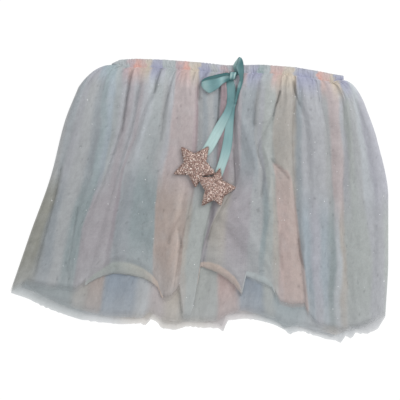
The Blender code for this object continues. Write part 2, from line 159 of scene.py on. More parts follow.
# The outer back's hem: x, y
BACK_HEM = (
    (-198, -97), (-180, -103), (-162, -112), (-144, -119), (-125, -125), (-104, -128), (-81, -130),
    (-62, -129), (-56, -131), (-51, -124), (-44, -128), (-40, -134), (-26, -136), (-13, -132), (1, -133.5),
    (20, -134), (25, -138), (29, -126), (48, -124), (64, -126), (80, -131), (90, -136), (94, -141),
    (100, -138), (107, -137), (119, -141), (131, -145), (143, -147), (149, -150), (152, -142), (160, -145),
    (163, -139), (176, -140), (187, -135), (195, -122),
)

# The dyes of the net, as they look where several layers lie on each other
DYE_SHADES = {
    "haze": "#a9abb0", "grey": "#a6a9aa", "slate": "#949ca1", "lilac": "#a9aab4", "violet": "#989ab0",
    "blue": "#9ba9b2", "cyan": "#97a7ab", "sky": "#b0b6ba", "teal": "#8c9b9d", "mint": "#a4abac",
    "sage": "#a6aca8", "olive": "#8e8d7f", "sand": "#aea79d", "honey": "#c2b5a4", "peach": "#c1ab9e",
    "coral": "#c3a59e", "blush": "#b9a9a8", "rose": "#b39ea1", "mauve": "#a39da2", "plum": "#978f96",
    "tan": "#ab988d", "salmon": "#d09d91", "azure": "#8898a8", "dusk": "#9d868c",
}


def dyed(colour):
    """An sRGB hex colour as linear red, green and blue."""
    return Vector(linear(colour)[:3])


DYES = {name: dyed(colour) for name, colour in DYE_SHADES.items()}
VEIL = dyed("#b3b5b6")
MIST = 0.33

# Where the middle dye, the lower dye and the hem's veil come in, and over what share of the cloth's length
MIDDLE_DYE = (-0.01, 0.11)
LOWER_DYE = (0.42, 0.22)
HEM_VEIL = (0.82, 0.18)

# Stripes of the back halves: x at waist, yoke, hip, mid, low and hem, then the upper, middle and lower dye
BACK_STRIPES = (
    (-90, -120, -135, -150, -170, -190, "haze", "sand", "teal"),
    (-70, -90, -100, -115, -130, -140, "lilac", "haze", "teal"),
    (-50, -60, -68, -80, -95, -105, "sky", "sky", "sky"),
    (-20, -25, -30, -40, -50, -60, "blush", "blush", "honey"),
    (0, 0, 0, 0, -5, -10, "sky", "sky", "honey"),
    (30, 30, 30, 32, 32, 32, "mauve", "mauve", "blush"),
    (70, 70, 70, 74, 78, 82, "sky", "sky", "cyan"),
    (100, 102, 104, 108, 112, 116, "lilac", "blue", "sky"),
    (130, 140, 145, 148, 150, 152, "blush", "honey", "sky"),
    (147, 168, 178, 188, 190, 190, "haze", "lilac", "haze"),
)


def ease(value):
    """0 to 1 with a level start and end."""
    t = max(0.0, min(1.0, value))
    return t * t * (3 - 2 * t)


def along(rows, x, column=1):
    """Reads a table's column at x, straight between its rows."""
    for low, high in zip(rows, rows[1:]):
        if x <= high[0]:
            t = max(0.0, min(1.0, (x - low[0]) / (high[0] - low[0])))
            return low[column] + (high[column] - low[column]) * t
    return rows[-1][column]


def smooth_through(places, values, at):
    """A smooth curve through values at rising places, with no overshoot between them."""
    steps = [(b - a) / (q - p) for p, q, a, b in zip(places, places[1:], values, values[1:])]
    slopes = [steps[0]]
    for before, after in zip(steps, steps[1:]):
        slopes.append(0.0 if before * after <= 0 else 2 * before * after / (before + after))
    slopes.append(steps[-1])
    i = next((k for k in range(len(steps)) if at <= places[k + 1]), len(steps) - 1)
    span = places[i + 1] - places[i]
    t = (at - places[i]) / span
    start = (1 + 2 * t) * (1 - t) ** 2 * values[i] + t * (1 - t) ** 2 * span * slopes[i]
    end = t * t * (3 - 2 * t) * values[i + 1] + t * t * (t - 1) * span * slopes[i + 1]
    return start + end


def line_x(row, v):
    """Where a line down the cloth lies at share v of the length. The cloth spreads fast below the waist."""
    if v < LEVELS[1]:
        return row[0] + (row[1] - row[0]) * (max(v, 0.0) / LEVELS[1]) ** SPREAD_POWER
    return smooth_through(LEVELS[1:], row[1:6], min(v, 1.0))


def band_height(x):
    """The casing is bunched narrower at its two ends, where it turns to the back."""
    from_left, from_right = x - BAND_TOP[0][0], BAND_TOP[-1][0] - x
    end = BAND_END_HEIGHTS[0] if from_left < from_right else BAND_END_HEIGHTS[1]
    return end + (BAND_HEIGHT - end) * ease(min(from_left, from_right) / BAND_END_TAPER)


def seam_y(x):
    """Lower edge of the waist casing, where every layer is gathered in."""
    return along(BAND_TOP, x) - band_height(x)


def ragged(x, wide, seed):
    """How far a raw hem strays from its line, from -1 to 1."""
    return noise.noise(Vector((x / wide, seed, 0)))


def patches(across, down, wide, tall, seed):
    """A soft random value from -1 to 1, in patches about as wide and tall as given."""
    return noise.noise(Vector((across / wide, down / tall, seed)))


def ripple(across, down, seed, size=1.0):
    """A soft random value from -1 to 1, in patches much longer down the cloth than across it."""
    return patches(across, down, 7 * size, 75 * size, seed)


def misty(colour):
    """A dye as it looks where the net is spread out, nearer to grey than where it is gathered."""
    grey = sum(colour) / 3
    return colour.lerp(Vector((grey, grey, grey)), MIST)


def dye_lines(stripes, v):
    """The stripes at share v: their places across, and their colours."""
    middle_in, lower_in, veil_in = (
        ease((v - start) / length) for start, length in (MIDDLE_DYE, LOWER_DYE, HEM_VEIL)
    )
    places, colours = [], []
    for row in stripes:
        upper, middle, lower = (DYES[name] for name in row[6:9])
        gathered = upper.lerp(VEIL, 0.15)
        spread_out = misty(middle.lerp(lower, lower_in))
        places.append(line_x(row, v))
        colours.append(gathered.lerp(spread_out, middle_in).lerp(VEIL, 0.38 * veil_in))
    return places, colours


def clouded(colour, across, down, seed):
    """A dye with the soft blotches of net over net, and small dark spots of painted reflection from glitter
    below.
    """
    broad = patches(across, down, 12, 17, seed)
    small = patches(across, down, 4.5, 6.5, seed + 3)
    pale = max(0.0, patches(across, down, 8, 11, seed + 6))
    # Painted dark reflection: small spots where glitter below would mirror something dark
    spot = ease((patches(across, down, 3.2, 4.2, seed + 9) - 0.5) / 0.2)
    return (colour * (1 + 0.07 * broad + 0.06 * small - 0.22 * spot)).lerp(VEIL, 0.22 * pale)


def dye_at(lines, x):
    """The colour at x, blending from stripe to stripe."""
    places, colours = lines
    k = max(0, min(len(places) - 2, bisect.bisect_left(places, x) - 1))
    t = (x - places[k]) / (places[k + 1] - places[k])
    return colours[k].lerp(colours[k + 1], ease(1.35 * (t - 0.5) + 0.5))


def piece_from(mesh, name):
    """The finished mesh as an object in the scene."""
    data = bpy.data.meshes.new(name)
    mesh.to_mesh(data)
    mesh.free()
    piece = bpy.data.objects.new(name, data)
    bpy.context.scene.collection.objects.link(piece)
    return piece


def sheet_of_net(name, columns, rows, place):
    """A sheet of net. place(i, j) gives a point and its place in the flat cloth in mm, its dye with any
    painted light and shade, and its cover.

    A net that slopes hides more of what is behind it, so its cover grows with its tilt.
    """
    mesh = bmesh.new()
    bmesh.ops.create_grid(mesh, x_segments=columns, y_segments=rows, size=0.5)
    cloth = mesh.loops.layers.uv.new("cloth")
    dye_with_painted_light = mesh.verts.layers.float_color.new("dye_with_painted_light")
    flat, covers = {}, {}
    for vert in mesh.verts:
        i = round((vert.co.x + 0.5) * columns)
        j = round((0.5 - vert.co.y) * rows)
        point, flat[vert.index], colour, covers[vert.index] = place(i, j)
        vert.co = Vector(point) * MM
        vert[dye_with_painted_light] = (*colour, 1.0)
    for face in mesh.faces:
        face.smooth = True
        for loop in face.loops:
            loop[cloth].uv = Vector(flat[loop.vert.index]) * MM
    mesh.normal_update()
    if sum(face.normal.z for face in mesh.faces) < 0:
        bmesh.ops.reverse_faces(mesh, faces=mesh.faces)
        mesh.normal_update()
    cover = mesh.verts.layers.float.new("cover")
    for vert in mesh.verts:
        tilt = max(0.25, abs(vert.normal.z))
        vert[cover] = 1 - (1 - covers[vert.index]) ** (1 / tilt)
    return piece_from(mesh, name)


def ranged(tree, value, low, high, to_low, to_high, kind="LINEAR"):
    """A value that runs from low to high, carried over to run from to_low to to_high."""
    return add_node(tree, "ShaderNodeMapRange", {"interpolation_type": kind}, {
        "Value": value, "From Min": low, "From Max": high, "To Min": to_low, "To Max": to_high,
    }).outputs["Result"]


def tulle(name):
    """Nylon tulle: a fine knotted net with a dry, slightly misty surface.

    The real mesh has holes of about 1 mm. Here they are 1.6 mm, because finer ones don't show in the render.
    """
    material, tree, shader = principled(name, {
        "Roughness": 0.75, "Specular IOR Level": 0.15, "Sheen Weight": 0.2, "Sheen Roughness": 0.5,
    })
    cloth = add_node(tree, "ShaderNodeUVMap", {"uv_map": "cloth"}).outputs["UV"]
    # The sheet's dye, with any painted light and shade laid into it
    dye_with_painted_light = add_node(tree, "ShaderNodeAttribute", {"attribute_name": "dye_with_painted_light"}).outputs["Color"]
    cover = add_node(tree, "ShaderNodeAttribute", {"attribute_name": "cover"}).outputs["Fac"]
    cloudy, fine = (
        add_node(tree, "ShaderNodeTexNoise", links={
            "Vector": cloth, "Scale": 1 / size, "Detail": detail, "Roughness": 0.6,
        }).outputs["Fac"]
        for size, detail in ((NET_CLOUDS, 4), (NET_GRAIN, 2))
    )
    cloud, grain = (ranged(tree, pattern, 0.3, 0.7, 0.95, 1.05) for pattern in (cloudy, fine))
    shade = add_node(tree, "ShaderNodeMath", {"operation": "MULTIPLY"}, {0: cloud, 1: grain}).outputs["Value"]
    tinted = add_node(tree, "ShaderNodeVectorMath", {"operation": "SCALE"}, {0: dye_with_painted_light, "Scale": shade})
    tree.links.new(tinted.outputs["Vector"], shader.inputs["Base Color"])
    holes = add_node(tree, "ShaderNodeTexVoronoi", {"feature": "DISTANCE_TO_EDGE"}, {
        "Vector": cloth, "Scale": 1 / NET_HOLE, "Randomness": 0.5,
    }).outputs["Distance"]
    thread = ranged(tree, holes, 0.08, 0.24, 1.03, 0.97, "SMOOTHSTEP")
    product = {"operation": "MULTIPLY", "use_clamp": True}
    alpha = add_node(tree, "ShaderNodeMath", product, {0: cover, 1: thread})
    tree.links.new(alpha.outputs["Value"], shader.inputs["Alpha"])
    crumple = add_node(tree, "ShaderNodeBump", links={"Height": cloudy, "Strength": 0.4, "Distance": MM})
    tree.links.new(crumple.outputs["Normal"], shader.inputs["Normal"])
    return material


def back_half(name, shorter, inset, height, seed, columns=150, rows=90):
    """A back layer as a flat sheet with faint waves, from side to side and from the seam to its raw hem."""
    first, last = BACK_HEM[0][0], BACK_HEM[-1][0]
    lines = [dye_lines(BACK_STRIPES, j / rows) for j in range(rows + 1)]

    def place(i, j):
        share, v = i / columns, j / rows
        left, right = line_x(LEFT_SIDE, v) + inset, line_x(RIGHT_SIDE, v) - inset
        hem_x = first + (last - first) * share
        waist_x = LEFT_SIDE[0] + (RIGHT_SIDE[0] - LEFT_SIDE[0]) * share
        x = left + (right - left) * share
        top = seam_y(waist_x) - SEAM_GAP
        hem = along(BACK_HEM, hem_x) + shorter + 1.1 * ragged(hem_x, 2.5, seed)
        y = top + (hem - top) * v
        z = height + 0.35 * ripple(hem_x, y, seed, 1.5)
        cover = NET_OF_BACKS * (1 - 0.3 * ease(1 - (y - hem) / BACK_HEM_FADE))
        colour = clouded(dye_at(lines[j], x), hem_x, y, seed)
        return (x, y, z), (hem_x * LAID_FULLNESS, y), colour, cover

    return sheet_of_net(name, columns, rows, place)


striped_tulle = tulle("striped tulle")

outer_back = back_half("outer_back_cloth", shorter=0.0, inset=0.0, height=0.7, seed=3.0)
outer_back.data.materials.append(striped_tulle)
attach(outer_back, "root")
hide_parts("outer_back")


# Under layer, back half
# A second, shorter layer of the same net inside the first, sewn into the same seam.

UNDER_INSET = 11.0

under_tulle = tulle("under tulle")
under_back = back_half("under_back_cloth", shorter=6.0, inset=UNDER_INSET, height=2.6, seed=7.0)
under_back.data.materials.append(under_tulle)
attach(under_back, "root")
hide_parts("under_back")


# Under layer, front half
# The same net again, in low gathers. Its raw hem shows below the outer layer's arches, in fuller waves.

UNDER_TOP = 4.9
UNDER_FOLDS = 22
NET_OF_UNDER_FRONT = 0.74
UNDER_HEM_FADE = 9.0

# The under front's hem: x, y
UNDER_HEM = (
    (-188, -88), (-167, -101), (-146, -108), (-123, -115), (-100, -120), (-78, -122), (-60, -123),
    (-51, -117), (-41, -124), (-20, -127), (1, -127), (20, -126), (30, -120), (48, -115), (66, -119),
    (81, -124), (93, -132), (106, -131), (127, -136), (146, -141), (158, -136), (177, -133), (188, -126),
)

# Stripes of the under front, in the same columns as those of the backs
UNDER_STRIPES = (
    (-88, -118, -132, -147, -166, -186, "haze", "haze", "teal"),
    (-80, -103, -116, -130, -148, -166, "sky", "haze", "teal"),
    (-73, -90, -100, -114, -130, -144, "cyan", "teal", "teal"),
    (-66, -78, -87, -99, -114, -126, "grey", "sand", "sand"),
    (-58, -66, -74, -88, -105, -116, "blush", "blush", "tan"),
    (-52, -58, -65, -79, -96, -109, "rose", "coral", "tan"),
    (-48, -53, -60, -73, -89, -101, "violet", "azure", "azure"),
    (-40, -44, -50, -58, -68, -77, "blue", "azure", "azure"),
    (-32, -35, -40, -47, -55, -62, "sky", "sky", "sky"),
    (-24, -26, -30, -34, -40, -46, "honey", "blush", "blush"),
    (-14, -15, -18, -22, -25, -29, "honey", "honey", "honey"),
    (-4, -4, -5, -7, -8, -10, "sage", "sage", "sage"),
    (8, 8, 8, 7, 6, 6, "sage", "sage", "sage"),
    (16, 16, 16, 16, 16, 15, "coral", "sage", "sage"),
    (27, 27, 27, 26, 24, 21, "peach", "coral", "coral"),
    (37, 37, 38, 37, 36, 36, "violet", "coral", "coral"),
    (46, 46, 46, 45, 45, 45, "blue", "azure", "azure"),
    (58, 58, 59, 60, 61, 62, "blue", "azure", "azure"),
    (68, 68, 69, 70, 71, 73, "lilac", "sage", "sage"),
    (78, 78, 79, 80, 82, 84, "cyan", "cyan", "cyan"),
    (92, 93, 95, 97, 99, 101, "teal", "cyan", "cyan"),
    (106, 108, 112, 116, 119, 121, "sky", "sky", "sky"),
    (118, 124, 130, 135, 138, 140, "blush", "honey", "honey"),
    (130, 142, 150, 156, 160, 161, "blush", "haze", "haze"),
    (140, 160, 172, 184, 186, 186, "lilac", "lilac", "haze"),
)


def under_front_sheet(columns=340, rows=110):
    """The under front: gathers that widen from the seam down, and waves where it shows."""
    first, last = UNDER_HEM[0][0], UNDER_HEM[-1][0]
    lines = [dye_lines(UNDER_STRIPES, j / rows) for j in range(rows + 1)]

    def place(i, j):
        share, v = i / columns, j / rows
        left, right = line_x(LEFT_SIDE, v) + UNDER_INSET, line_x(RIGHT_SIDE, v) - UNDER_INSET
        waist_x = LEFT_SIDE[0] + UNDER_INSET + (RIGHT_SIDE[0] - LEFT_SIDE[0] - 2 * UNDER_INSET) * share
        hem_x = first + (last - first) * share
        x = left + (right - left) * share
        top = seam_y(waist_x) - SEAM_GAP
        hem = along(UNDER_HEM, hem_x) + 1.2 * ragged(hem_x, 2.2, 5)
        y = top + (hem - top) * v
        wave = 0.5 + 0.5 * math.sin(2 * math.pi * UNDER_FOLDS * share + 1.3 * math.sin(9 * share))
        shown = ease((along(OUTER_HEM, x) - y - 8) / 14)
        z = UNDER_TOP + (0.8 + 0.9 * shown) * wave + 0.5 * shown * ripple(hem_x, y, 11.0, 0.6)
        wander = 2.0 * patches(hem_x, y, 8, 14, 2)
        colour = clouded(dye_at(lines[j], x + wander), hem_x, y, 40.0)
        cover = NET_OF_UNDER_FRONT * (1 - 0.5 * ease(1 - (y - hem) / UNDER_HEM_FADE))
        return (x, y, z), (hem_x * LAID_FULLNESS, y), colour, cover

    return sheet_of_net("under_front_cloth", columns, rows, place)


# Hem of the outer front: x, y, how far its edge is lifted, and how far it curls over below that line
OUTER_HEM = (
    (-198, -94, 0, 0), (-181, -86, 0, 0), (-162, -91, 0, 0), (-144, -93, 0, 0), (-129, -94, 1, 1),
    (-120, -86, 2, 2), (-112, -78, 3, 5), (-101, -70, 4, 8), (-96, -66.5, 5, 11), (-91, -62.5, 6, 13),
    (-82, -62, 6, 14), (-68, -65, 6, 13), (-60, -69, 5, 11), (-50, -76, 4, 9), (-44, -84, 3, 6),
    (-40, -97, 1, 3), (-36, -104, 1, 1), (-29, -101, 2, 1), (-21, -92, 2, 1), (-17, -122, 0, 0),
    (-9, -123, 0, 0), (-5, -104, 1, 0), (1, -64, 3, 4), (9.5, -63, 4, 7.5), (20, -65.5, 5, 9),
    (29.5, -71.5, 5, 9.5), (37, -78.5, 5, 9.5), (42.5, -87, 5, 8), (45.5, -96, 3, 5), (47.5, -73, 1, 6),
    (58, -74.5, 1, 10), (69, -79, 1, 10.5), (76, -86, 1, 6), (80, -100, 0, 0), (85, -108, 0, 0),
    (95, -111, 0, 0), (110, -110, 1, 0), (113, -118, 0, 0), (122, -129, 0, 0), (135, -134, 0, 0),
    (150, -136, 0, 0), (164, -133, 0, 0), (178, -128, 0, 0), (195, -119, 0, 0),
)

under_front = under_front_sheet()
under_front.data.materials.append(under_tulle)
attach(under_front, "root")
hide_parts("under_front")


# Outer layer, front half
# The wide net gathered into the casing, lying in the folds it fell into. Each fold laps a little over the
# crease beside it, and the raw hem is caught up in two arches where the under layer shows.

OUTER_TOP = 8.2
OUTER_EDGE_TOP = 2.2
CLEAR_OF_UNDER = 6.3
ROLL = 8.0
FLAT_RIM = 4.0
NET_OF_FRONT = 0.8
OUTER_FULLNESS = 1.5
OUTER_HEM_FADE = 7.0
RELIEF = 0.54
LAP = 0.35

# The top row is caught this far under the casing, and this far below the fold tops
CAUGHT_IN_SEAM = 1.6
CAUGHT_BELOW = 2.6

# Creases with at least this much painted shade stay sharp to the hem. For the others: where they start to
# wear away, and over what share of the cloth's length
SHARP_CREASE = 0.9
CREASES_WEAR = (0.3, 0.35)

# The painted shade beside a crease is a thin dark line in a wide faint one: how dark, and how wide
CREASE_SHADE_LINE = (0.16, 0.9)
CREASE_SHADOW = (0.05, 3.0)

# Colours of the caught-up hem. Each comes in from an x, over a width.
LIP_LEFT = dyed("#9da59e")
LIP_DYES = ((-96, 34, dyed("#b7b4a9")), (-64, 26, dyed("#cab5a6")), (40, 6, dyed("#b0b8b8")))
CORAL_NET = dyed("#bcaaa4")

# Creases of the outer front: x at waist, yoke, hip, mid, low and hem, the height of the fold to its right,
# which side of that fold is steep (-1 left to 1 right), and how much painted shade lies along the crease
CREASES = (
    (*LEFT_SIDE, 2.5, 0.0, 0.0),
    (-88, -119, -130, -147, -160, -181, 5.0, -0.3, 0.5),
    (-84, -100, -107, -118, -134, -145, 3.0, 0.0, 0.2),
    (-78, -89, -92, -107, -128, -139, 3.4, 0.6, 0.2),
    (-70, -75, -81, -99, -122, -133, 3.0, -0.6, 0.85),
    (-62, -65, -70, -86, -102, -117, 4.0, -0.3, 0.5),
    (-39, -48, -61, -76, -86, -99, 4.2, -0.3, 0.6),
    (-22, -31, -40, -53, -59, -62, 3.0, 0.2, 0.4),
    (-16, -26, -28, -36, -45, -46, 6.0, 0.7, 0.2),
    (0, -2, -3, -6, -19, -28, 4.0, -0.4, 1.0),
    (23, 20, 19, 18, 6, 0, 2.5, 0.3, 1.0),
    (40, 38, 36, 37, 13, 4, 9.0, -0.6, 1.0),
    (66, 60, 57, 65, 66, 70, 4.0, 0.2, 0.5),
    (86, 82, 76, 78, 82, 84, 7.0, 0.6, 0.5),
    (99, 99, 97, 99, 105, 111, 3.0, 0.0, 0.9),
    (103, 105, 112, 114, 113, 117, 5.5, -0.4, 0.4),
    (124, 128, 135, 139, 137, 135, 5.0, 0.4, 0.5),
    (137, 150, 152, 149, 152, 158, 6.0, -0.3, 0.5),
    (142, 163, 174, 181, 183, 185, 3.5, 0.0, 0.1),
    (*RIGHT_SIDE, 0.0, 0.0, 0.0),
)

# Stripes of the outer front, in the same columns as those of the backs
OUTER_STRIPES = (
    (-109, -128, -141, -155, -175, -195, "haze", "grey", "olive"),
    (-106, -122, -134, -149, -167, -183, "haze", "slate", "olive"),
    (-103, -116, -127, -140, -154, -167, "lilac", "haze", "slate"),
    (-100, -109, -117, -128, -144, -154, "lilac", "grey", "grey"),
    (-97, -102, -106, -118, -133, -145, "blue", "slate", "teal"),
    (-93, -97, -100, -109, -125, -135, "cyan", "cyan", "teal"),
    (-88, -91, -94, -104, -118, -128, "cyan", "blue", "mauve"),
    (-82, -85, -89, -99, -110, -121, "mint", "mint", "mauve"),
    (-76, -78, -83, -96, -107, -117, "rose", "haze", "mauve"),
    (-70, -72, -77, -89, -100, -110, "coral", "mauve", "mauve"),
    (-64, -66, -70, -84, -93, -103, "coral", "haze", "mauve"),
    (-59, -61, -65, -80, -89, -97, "peach", "mauve", "plum"),
    (-52, -56, -60, -76, -84, -89, "honey", "haze", "slate"),
    (-47, -50, -55, -68, -77, -81, "violet", "sky", "slate"),
    (-42, -46, -48, -60, -66, -70, "violet", "mint", "teal"),
    (-37, -40, -43, -52, -58, -61, "lilac", "mint", "teal"),
    (-32, -35, -38, -46, -50, -52, "mint", "grey", "teal"),
    (-26, -29, -33, -41, -45, -46, "mint", "haze", "tan"),
    (-21, -24, -27, -34, -39, -41, "rose", "blush", "tan"),
    (-16, -19, -22, -27, -33, -34, "coral", "blush", "tan"),
    (-12, -14, -16, -20, -25, -26, "coral", "blush", "peach"),
    (-7, -8, -9, -13, -19, -22, "honey", "blush", "tan"),
    (-3, -3, -3, -7, -15, -19, "honey", "rose", "sand"),
    (2, 1, 1, -2, -9, -14, "violet", "grey", "sage"),
    (7, 7, 6, 4, -2, -7, "violet", "slate", "sage"),
    (14, 13, 13, 10, 4, -2, "grey", "grey", "sage"),
    (19, 18, 17, 16, 5, 0, "lilac", "slate", "sage"),
    (23, 22, 22, 21, 9, 3, "rose", "dusk", "plum"),
    (28, 27, 26, 27, 15, 9, "rose", "dusk", "sand"),
    (35, 34, 33, 33, 23, 19, "haze", "mauve", "sand"),
    (41, 40, 39, 40, 33, 30, "lilac", "mauve", "mauve"),
    (47, 46, 45, 46, 42, 40, "rose", "slate", "mauve"),
    (54, 51, 51, 54, 49, 47, "violet", "slate", "mauve"),
    (59, 57, 56, 59, 56, 54, "violet", "slate", "grey"),
    (64, 61, 59, 64, 62, 60, "violet", "grey", "grey"),
    (69, 66, 63, 68, 67, 65, "mint", "haze", "teal"),
    (75, 71, 68, 72, 74, 72, "grey", "sage", "sage"),
    (80, 77, 75, 77, 80, 80, "coral", "sage", "sand"),
    (85, 82, 80, 82, 86, 86, "peach", "sand", "coral"),
    (90, 87, 85, 87, 91, 93, "honey", "sand", "coral"),
    (94, 92, 91, 92, 97, 101, "honey", "sand", "peach"),
    (99, 98, 97, 98, 102, 107, "honey", "sand", "tan"),
    (104, 103, 103, 104, 107, 112, "violet", "slate", "slate"),
    (111, 110, 109, 111, 113, 119, "violet", "haze", "blue"),
    (119, 118, 118, 121, 122, 127, "violet", "haze", "lilac"),
    (124, 125, 127, 130, 131, 133, "lilac", "haze", "blue"),
    (128, 130, 134, 138, 139, 139, "coral", "grey", "teal"),
    (133, 136, 140, 143, 145, 145, "blush", "blush", "sky"),
    (139, 143, 146, 148, 150, 151, "honey", "blush", "sand"),
    (143, 148, 151, 153, 156, 159, "honey", "haze", "sage"),
    (147, 153, 158, 162, 166, 167, "violet", "sage", "sage"),
    (150, 158, 164, 170, 174, 175, "violet", "grey", "sage"),
    (154, 163, 169, 177, 183, 183, "sky", "sky", "haze"),
    (158, 168, 175, 187, 191, 191, "sky", "lilac", "haze"),
    (162, 174, 183, 195, 197, 196, "haze", "lilac", "sage"),
)

# Folds that run across the others: how wide, how high, the painted highlight along them (above 0) and the
# painted shade (below 0), then their way, x and y
CROSS_FOLDS = (
    (4.5, 2.6, 0.07, ((42, 92), (50, 70), (57, 50), (60, 34), (55, 18), (38, -2), (22, -14))),
    (5.0, -1.8, -0.07, ((44, 60), (50, 44), (50, 28))),
    (1.5, -2.0, -0.12, ((76, 86), (70, 76), (61, 58), (60, 50), (63, 42), (66, 33), (67, 21), (64, 5))),
    (3.0, 2.2, 0.06, ((74, 68), (68, 55), (72, 42), (76, 27), (73, 5))),
    (1.3, -1.6, -0.22, ((75, 43), (80, 37), (87, 30), (93, 22))),
    (3.0, 1.4, 0.03, ((86, 36), (93, 27), (95, 10))),
    (1.1, -1.4, -0.50, ((84, 114), (82, 106), (79, 98), (77, 89))),
    (1.3, -1.2, -0.32, ((98, 124), (100, 113), (104, 100))),
    (2.0, -1.2, -0.20, ((63, 122), (58, 101), (57, 80))),
    (1.0, -1.2, -0.30, ((21, 118), (20, 100), (19, 79))),
    (1.6, -1.4, -0.18, ((-71, 135), (-76, 110), (-81, 72))),
    (1.5, -1.2, -0.12, ((-62, 122), (-65, 112), (-67, 99))),
    (1.2, -1.2, -0.32, ((-40, 138), (-45, 122), (-47, 113))),
    (1.6, -1.2, -0.12, ((-33, 118), (-38, 89), (-41, 63))),
    (1.6, -1.0, -0.24, ((10, 136), (4, 128), (0, 119), (-1, 105))),
    (1.5, -1.4, -0.18, ((103, -41), (105, -58), (109, -71))),
    (2.0, -1.2, -0.11, ((84, -35), (83, -55), (86, -72))),
    (2.6, -1.4, -0.24, ((14, -5), (12, -20), (8, -40))),
    (1.3, -1.4, -0.20, ((-23, -29), (-19, -49))),
    (1.7, -1.5, -0.13, ((-22, -18), (-27, -27), (-31, -36), (-33.5, -45))),
    (1.5, -1.6, -0.13, ((-145, 33), (-153, -2), (-160, -28), (-173, -77))),
    (1.3, -1.2, -0.10, ((-128, -8), (-130, -22), (-134, -50), (-139, -74))),
    (4.5, 1.4, 0.01, ((-24, -36), (-25, -52), (-24, -68), (-27, -84))),
    (6.0, 0.4, 0.07, ((-27, 2), (-33, -12), (-36, -28), (-38, -44))),
    (3.0, -1.2, -0.10, ((-89, -48), (-88, -62))),
    (5.5, -2.2, -0.12, ((24, -25), (38, -42), (51, -61), (57, -72))),
    (0.9, -0.6, -0.26, ((35, 54), (36.5, 35), (37.5, 16))),
    (4.0, 1.4, 0.04, ((36, -6), (50, -30), (62, -52), (74, -70))),
    (3.4, 1.4, 0.05, ((-17, -26), (-18, -55), (-23, -80), (-35, -95))),
)

# Stars press the folds down: x, y
STARS_AT = ((-4.2, 35.7), (16.1, 12.0))


def pressed(x, y):
    """How much the stars' weight leaves of a fold's height."""
    left = 1.0
    for star_x, star_y in STARS_AT:
        near = 1 - math.hypot(x - star_x, y - star_y) / 34.0
        left = min(left, 1 - 0.7 * ease(near * 2))
    return left


def off_line(x, y, line):
    """How far a point lies from a line of points."""
    nearest = 1e9
    for (ax, ay), (bx, by) in zip(line, line[1:]):
        along_x, along_y = bx - ax, by - ay
        t = ((x - ax) * along_x + (y - ay) * along_y) / (along_x**2 + along_y**2)
        t = max(0.0, min(1.0, t))
        nearest = min(nearest, math.hypot(x - ax - along_x * t, y - ay - along_y * t))
    return nearest


def cross_fold(x, y):
    """Height, and the painted highlight and painted shade, that the crossing folds add at a point."""
    height, shade = 0.0, 0.0
    for width, rise, painted_light_and_shade, line in CROSS_FOLDS:
        if min(p[0] for p in line) - 3 * width < x < max(p[0] for p in line) + 3 * width:
            near = math.exp(-((off_line(x, y, line) / width) ** 2))
            height += rise * near
            shade += painted_light_and_shade * near
    return height, shade


# The fold that shows the coral side of its stripe: y, then its left and right edge
CORAL_FOLD = (
    (-110, 89, 114), (-95, 88, 112), (-74, 86, 110), (-52, 85, 106), (-20, 83, 102.5), (10, 81, 98),
    (22, 80, 96), (30, 78, 92), (40, 76, 78),
)


def on_coral(x, y):
    """1 where the coral fold shows, and 0 outside it."""
    left, right = along(CORAL_FOLD, y), along(CORAL_FOLD, y, 2)
    return ease((x - left) / 2.5 + 0.5) * ease((right - x) / 2.5 + 0.5) * ease((41 - y) / 4)


def lip_colour(x):
    """The colour of the caught-up hem at x."""
    colour = LIP_LEFT
    for start, width, shade in LIP_DYES:
        colour = colour.lerp(shade, ease((x - start) / width))
    return colour


def worn(darkness, v):
    """How far a crease has worn away at share v, from 0 to 1."""
    return 0.0 if darkness >= SHARP_CREASE else ease((v - CREASES_WEAR[0]) / CREASES_WEAR[1])


def fold_height(crease, width, t, v, left_alone):
    """Height of the fold beside a crease, at share t of the fold's width and share v of the length."""
    height, steep, darkness = crease[6:]
    rise_left = max(3.5, width * (0.45 + 0.35 * steep))
    rise_right = max(3.5, width * (0.45 - 0.35 * steep))
    kept = left_alone * (1 - 0.45 * worn(darkness, v))
    high = RELIEF * min(height, 0.4 * width) * ease(v / 0.14 + 0.25) * kept
    return high * ease(width * t / rise_left) * ease(width * (1 - t) / rise_right)


def fine_relief(waist_x, mid_x, y, v, left_alone):
    """Gathers and puckers below the seam, and the net's own crumpling all over."""
    fade = 0.16 + 0.2 * noise.noise(Vector((mid_x / 9, 0.5, 4)))
    gather = (1 - ease(v / fade)) * max(0.0, 1 - 2.4 * abs(patches(waist_x, y, 4.2, 60, 9)))
    pucker = (1 - ease(v / 0.05)) * patches(waist_x, y, 1.9, 9, 14)
    crumple = 0.55 * patches(mid_x, y, 9, 15, 21) + 0.35 * patches(mid_x, y, 4, 6, 33)
    streak = 0.22 * ripple(mid_x, y, 25.0, 0.9)
    return 1.7 * gather + 0.7 * pucker + (crumple + streak) * (0.3 + 0.7 * left_alone)


def painted_crease_shade(darkness, away, v):
    """How much painted shade a crease lays on the cloth's colour, away mm to its side."""
    shown = darkness * ease(v / 0.05) * (1 - 0.8 * worn(darkness, v))
    lines = (CREASE_SHADE_LINE, CREASE_SHADOW)
    return shown * sum(depth * math.exp(-((away / wide) ** 2)) for depth, wide in lines)


def outer_front_columns():
    """Each column's crease and its share of the way to the next one. They lie closer beside the creases."""
    columns = []
    for k, (crease, after) in enumerate(zip(CREASES, CREASES[1:])):
        count = max(9, round((after[3] - crease[3]) / 0.82))
        for step in range(count):
            even = step / count
            columns.append((k, 0.55 * even + 0.45 * (0.5 - 0.5 * math.cos(math.pi * even))))
    columns.append((len(CREASES) - 2, 1.0))
    return columns


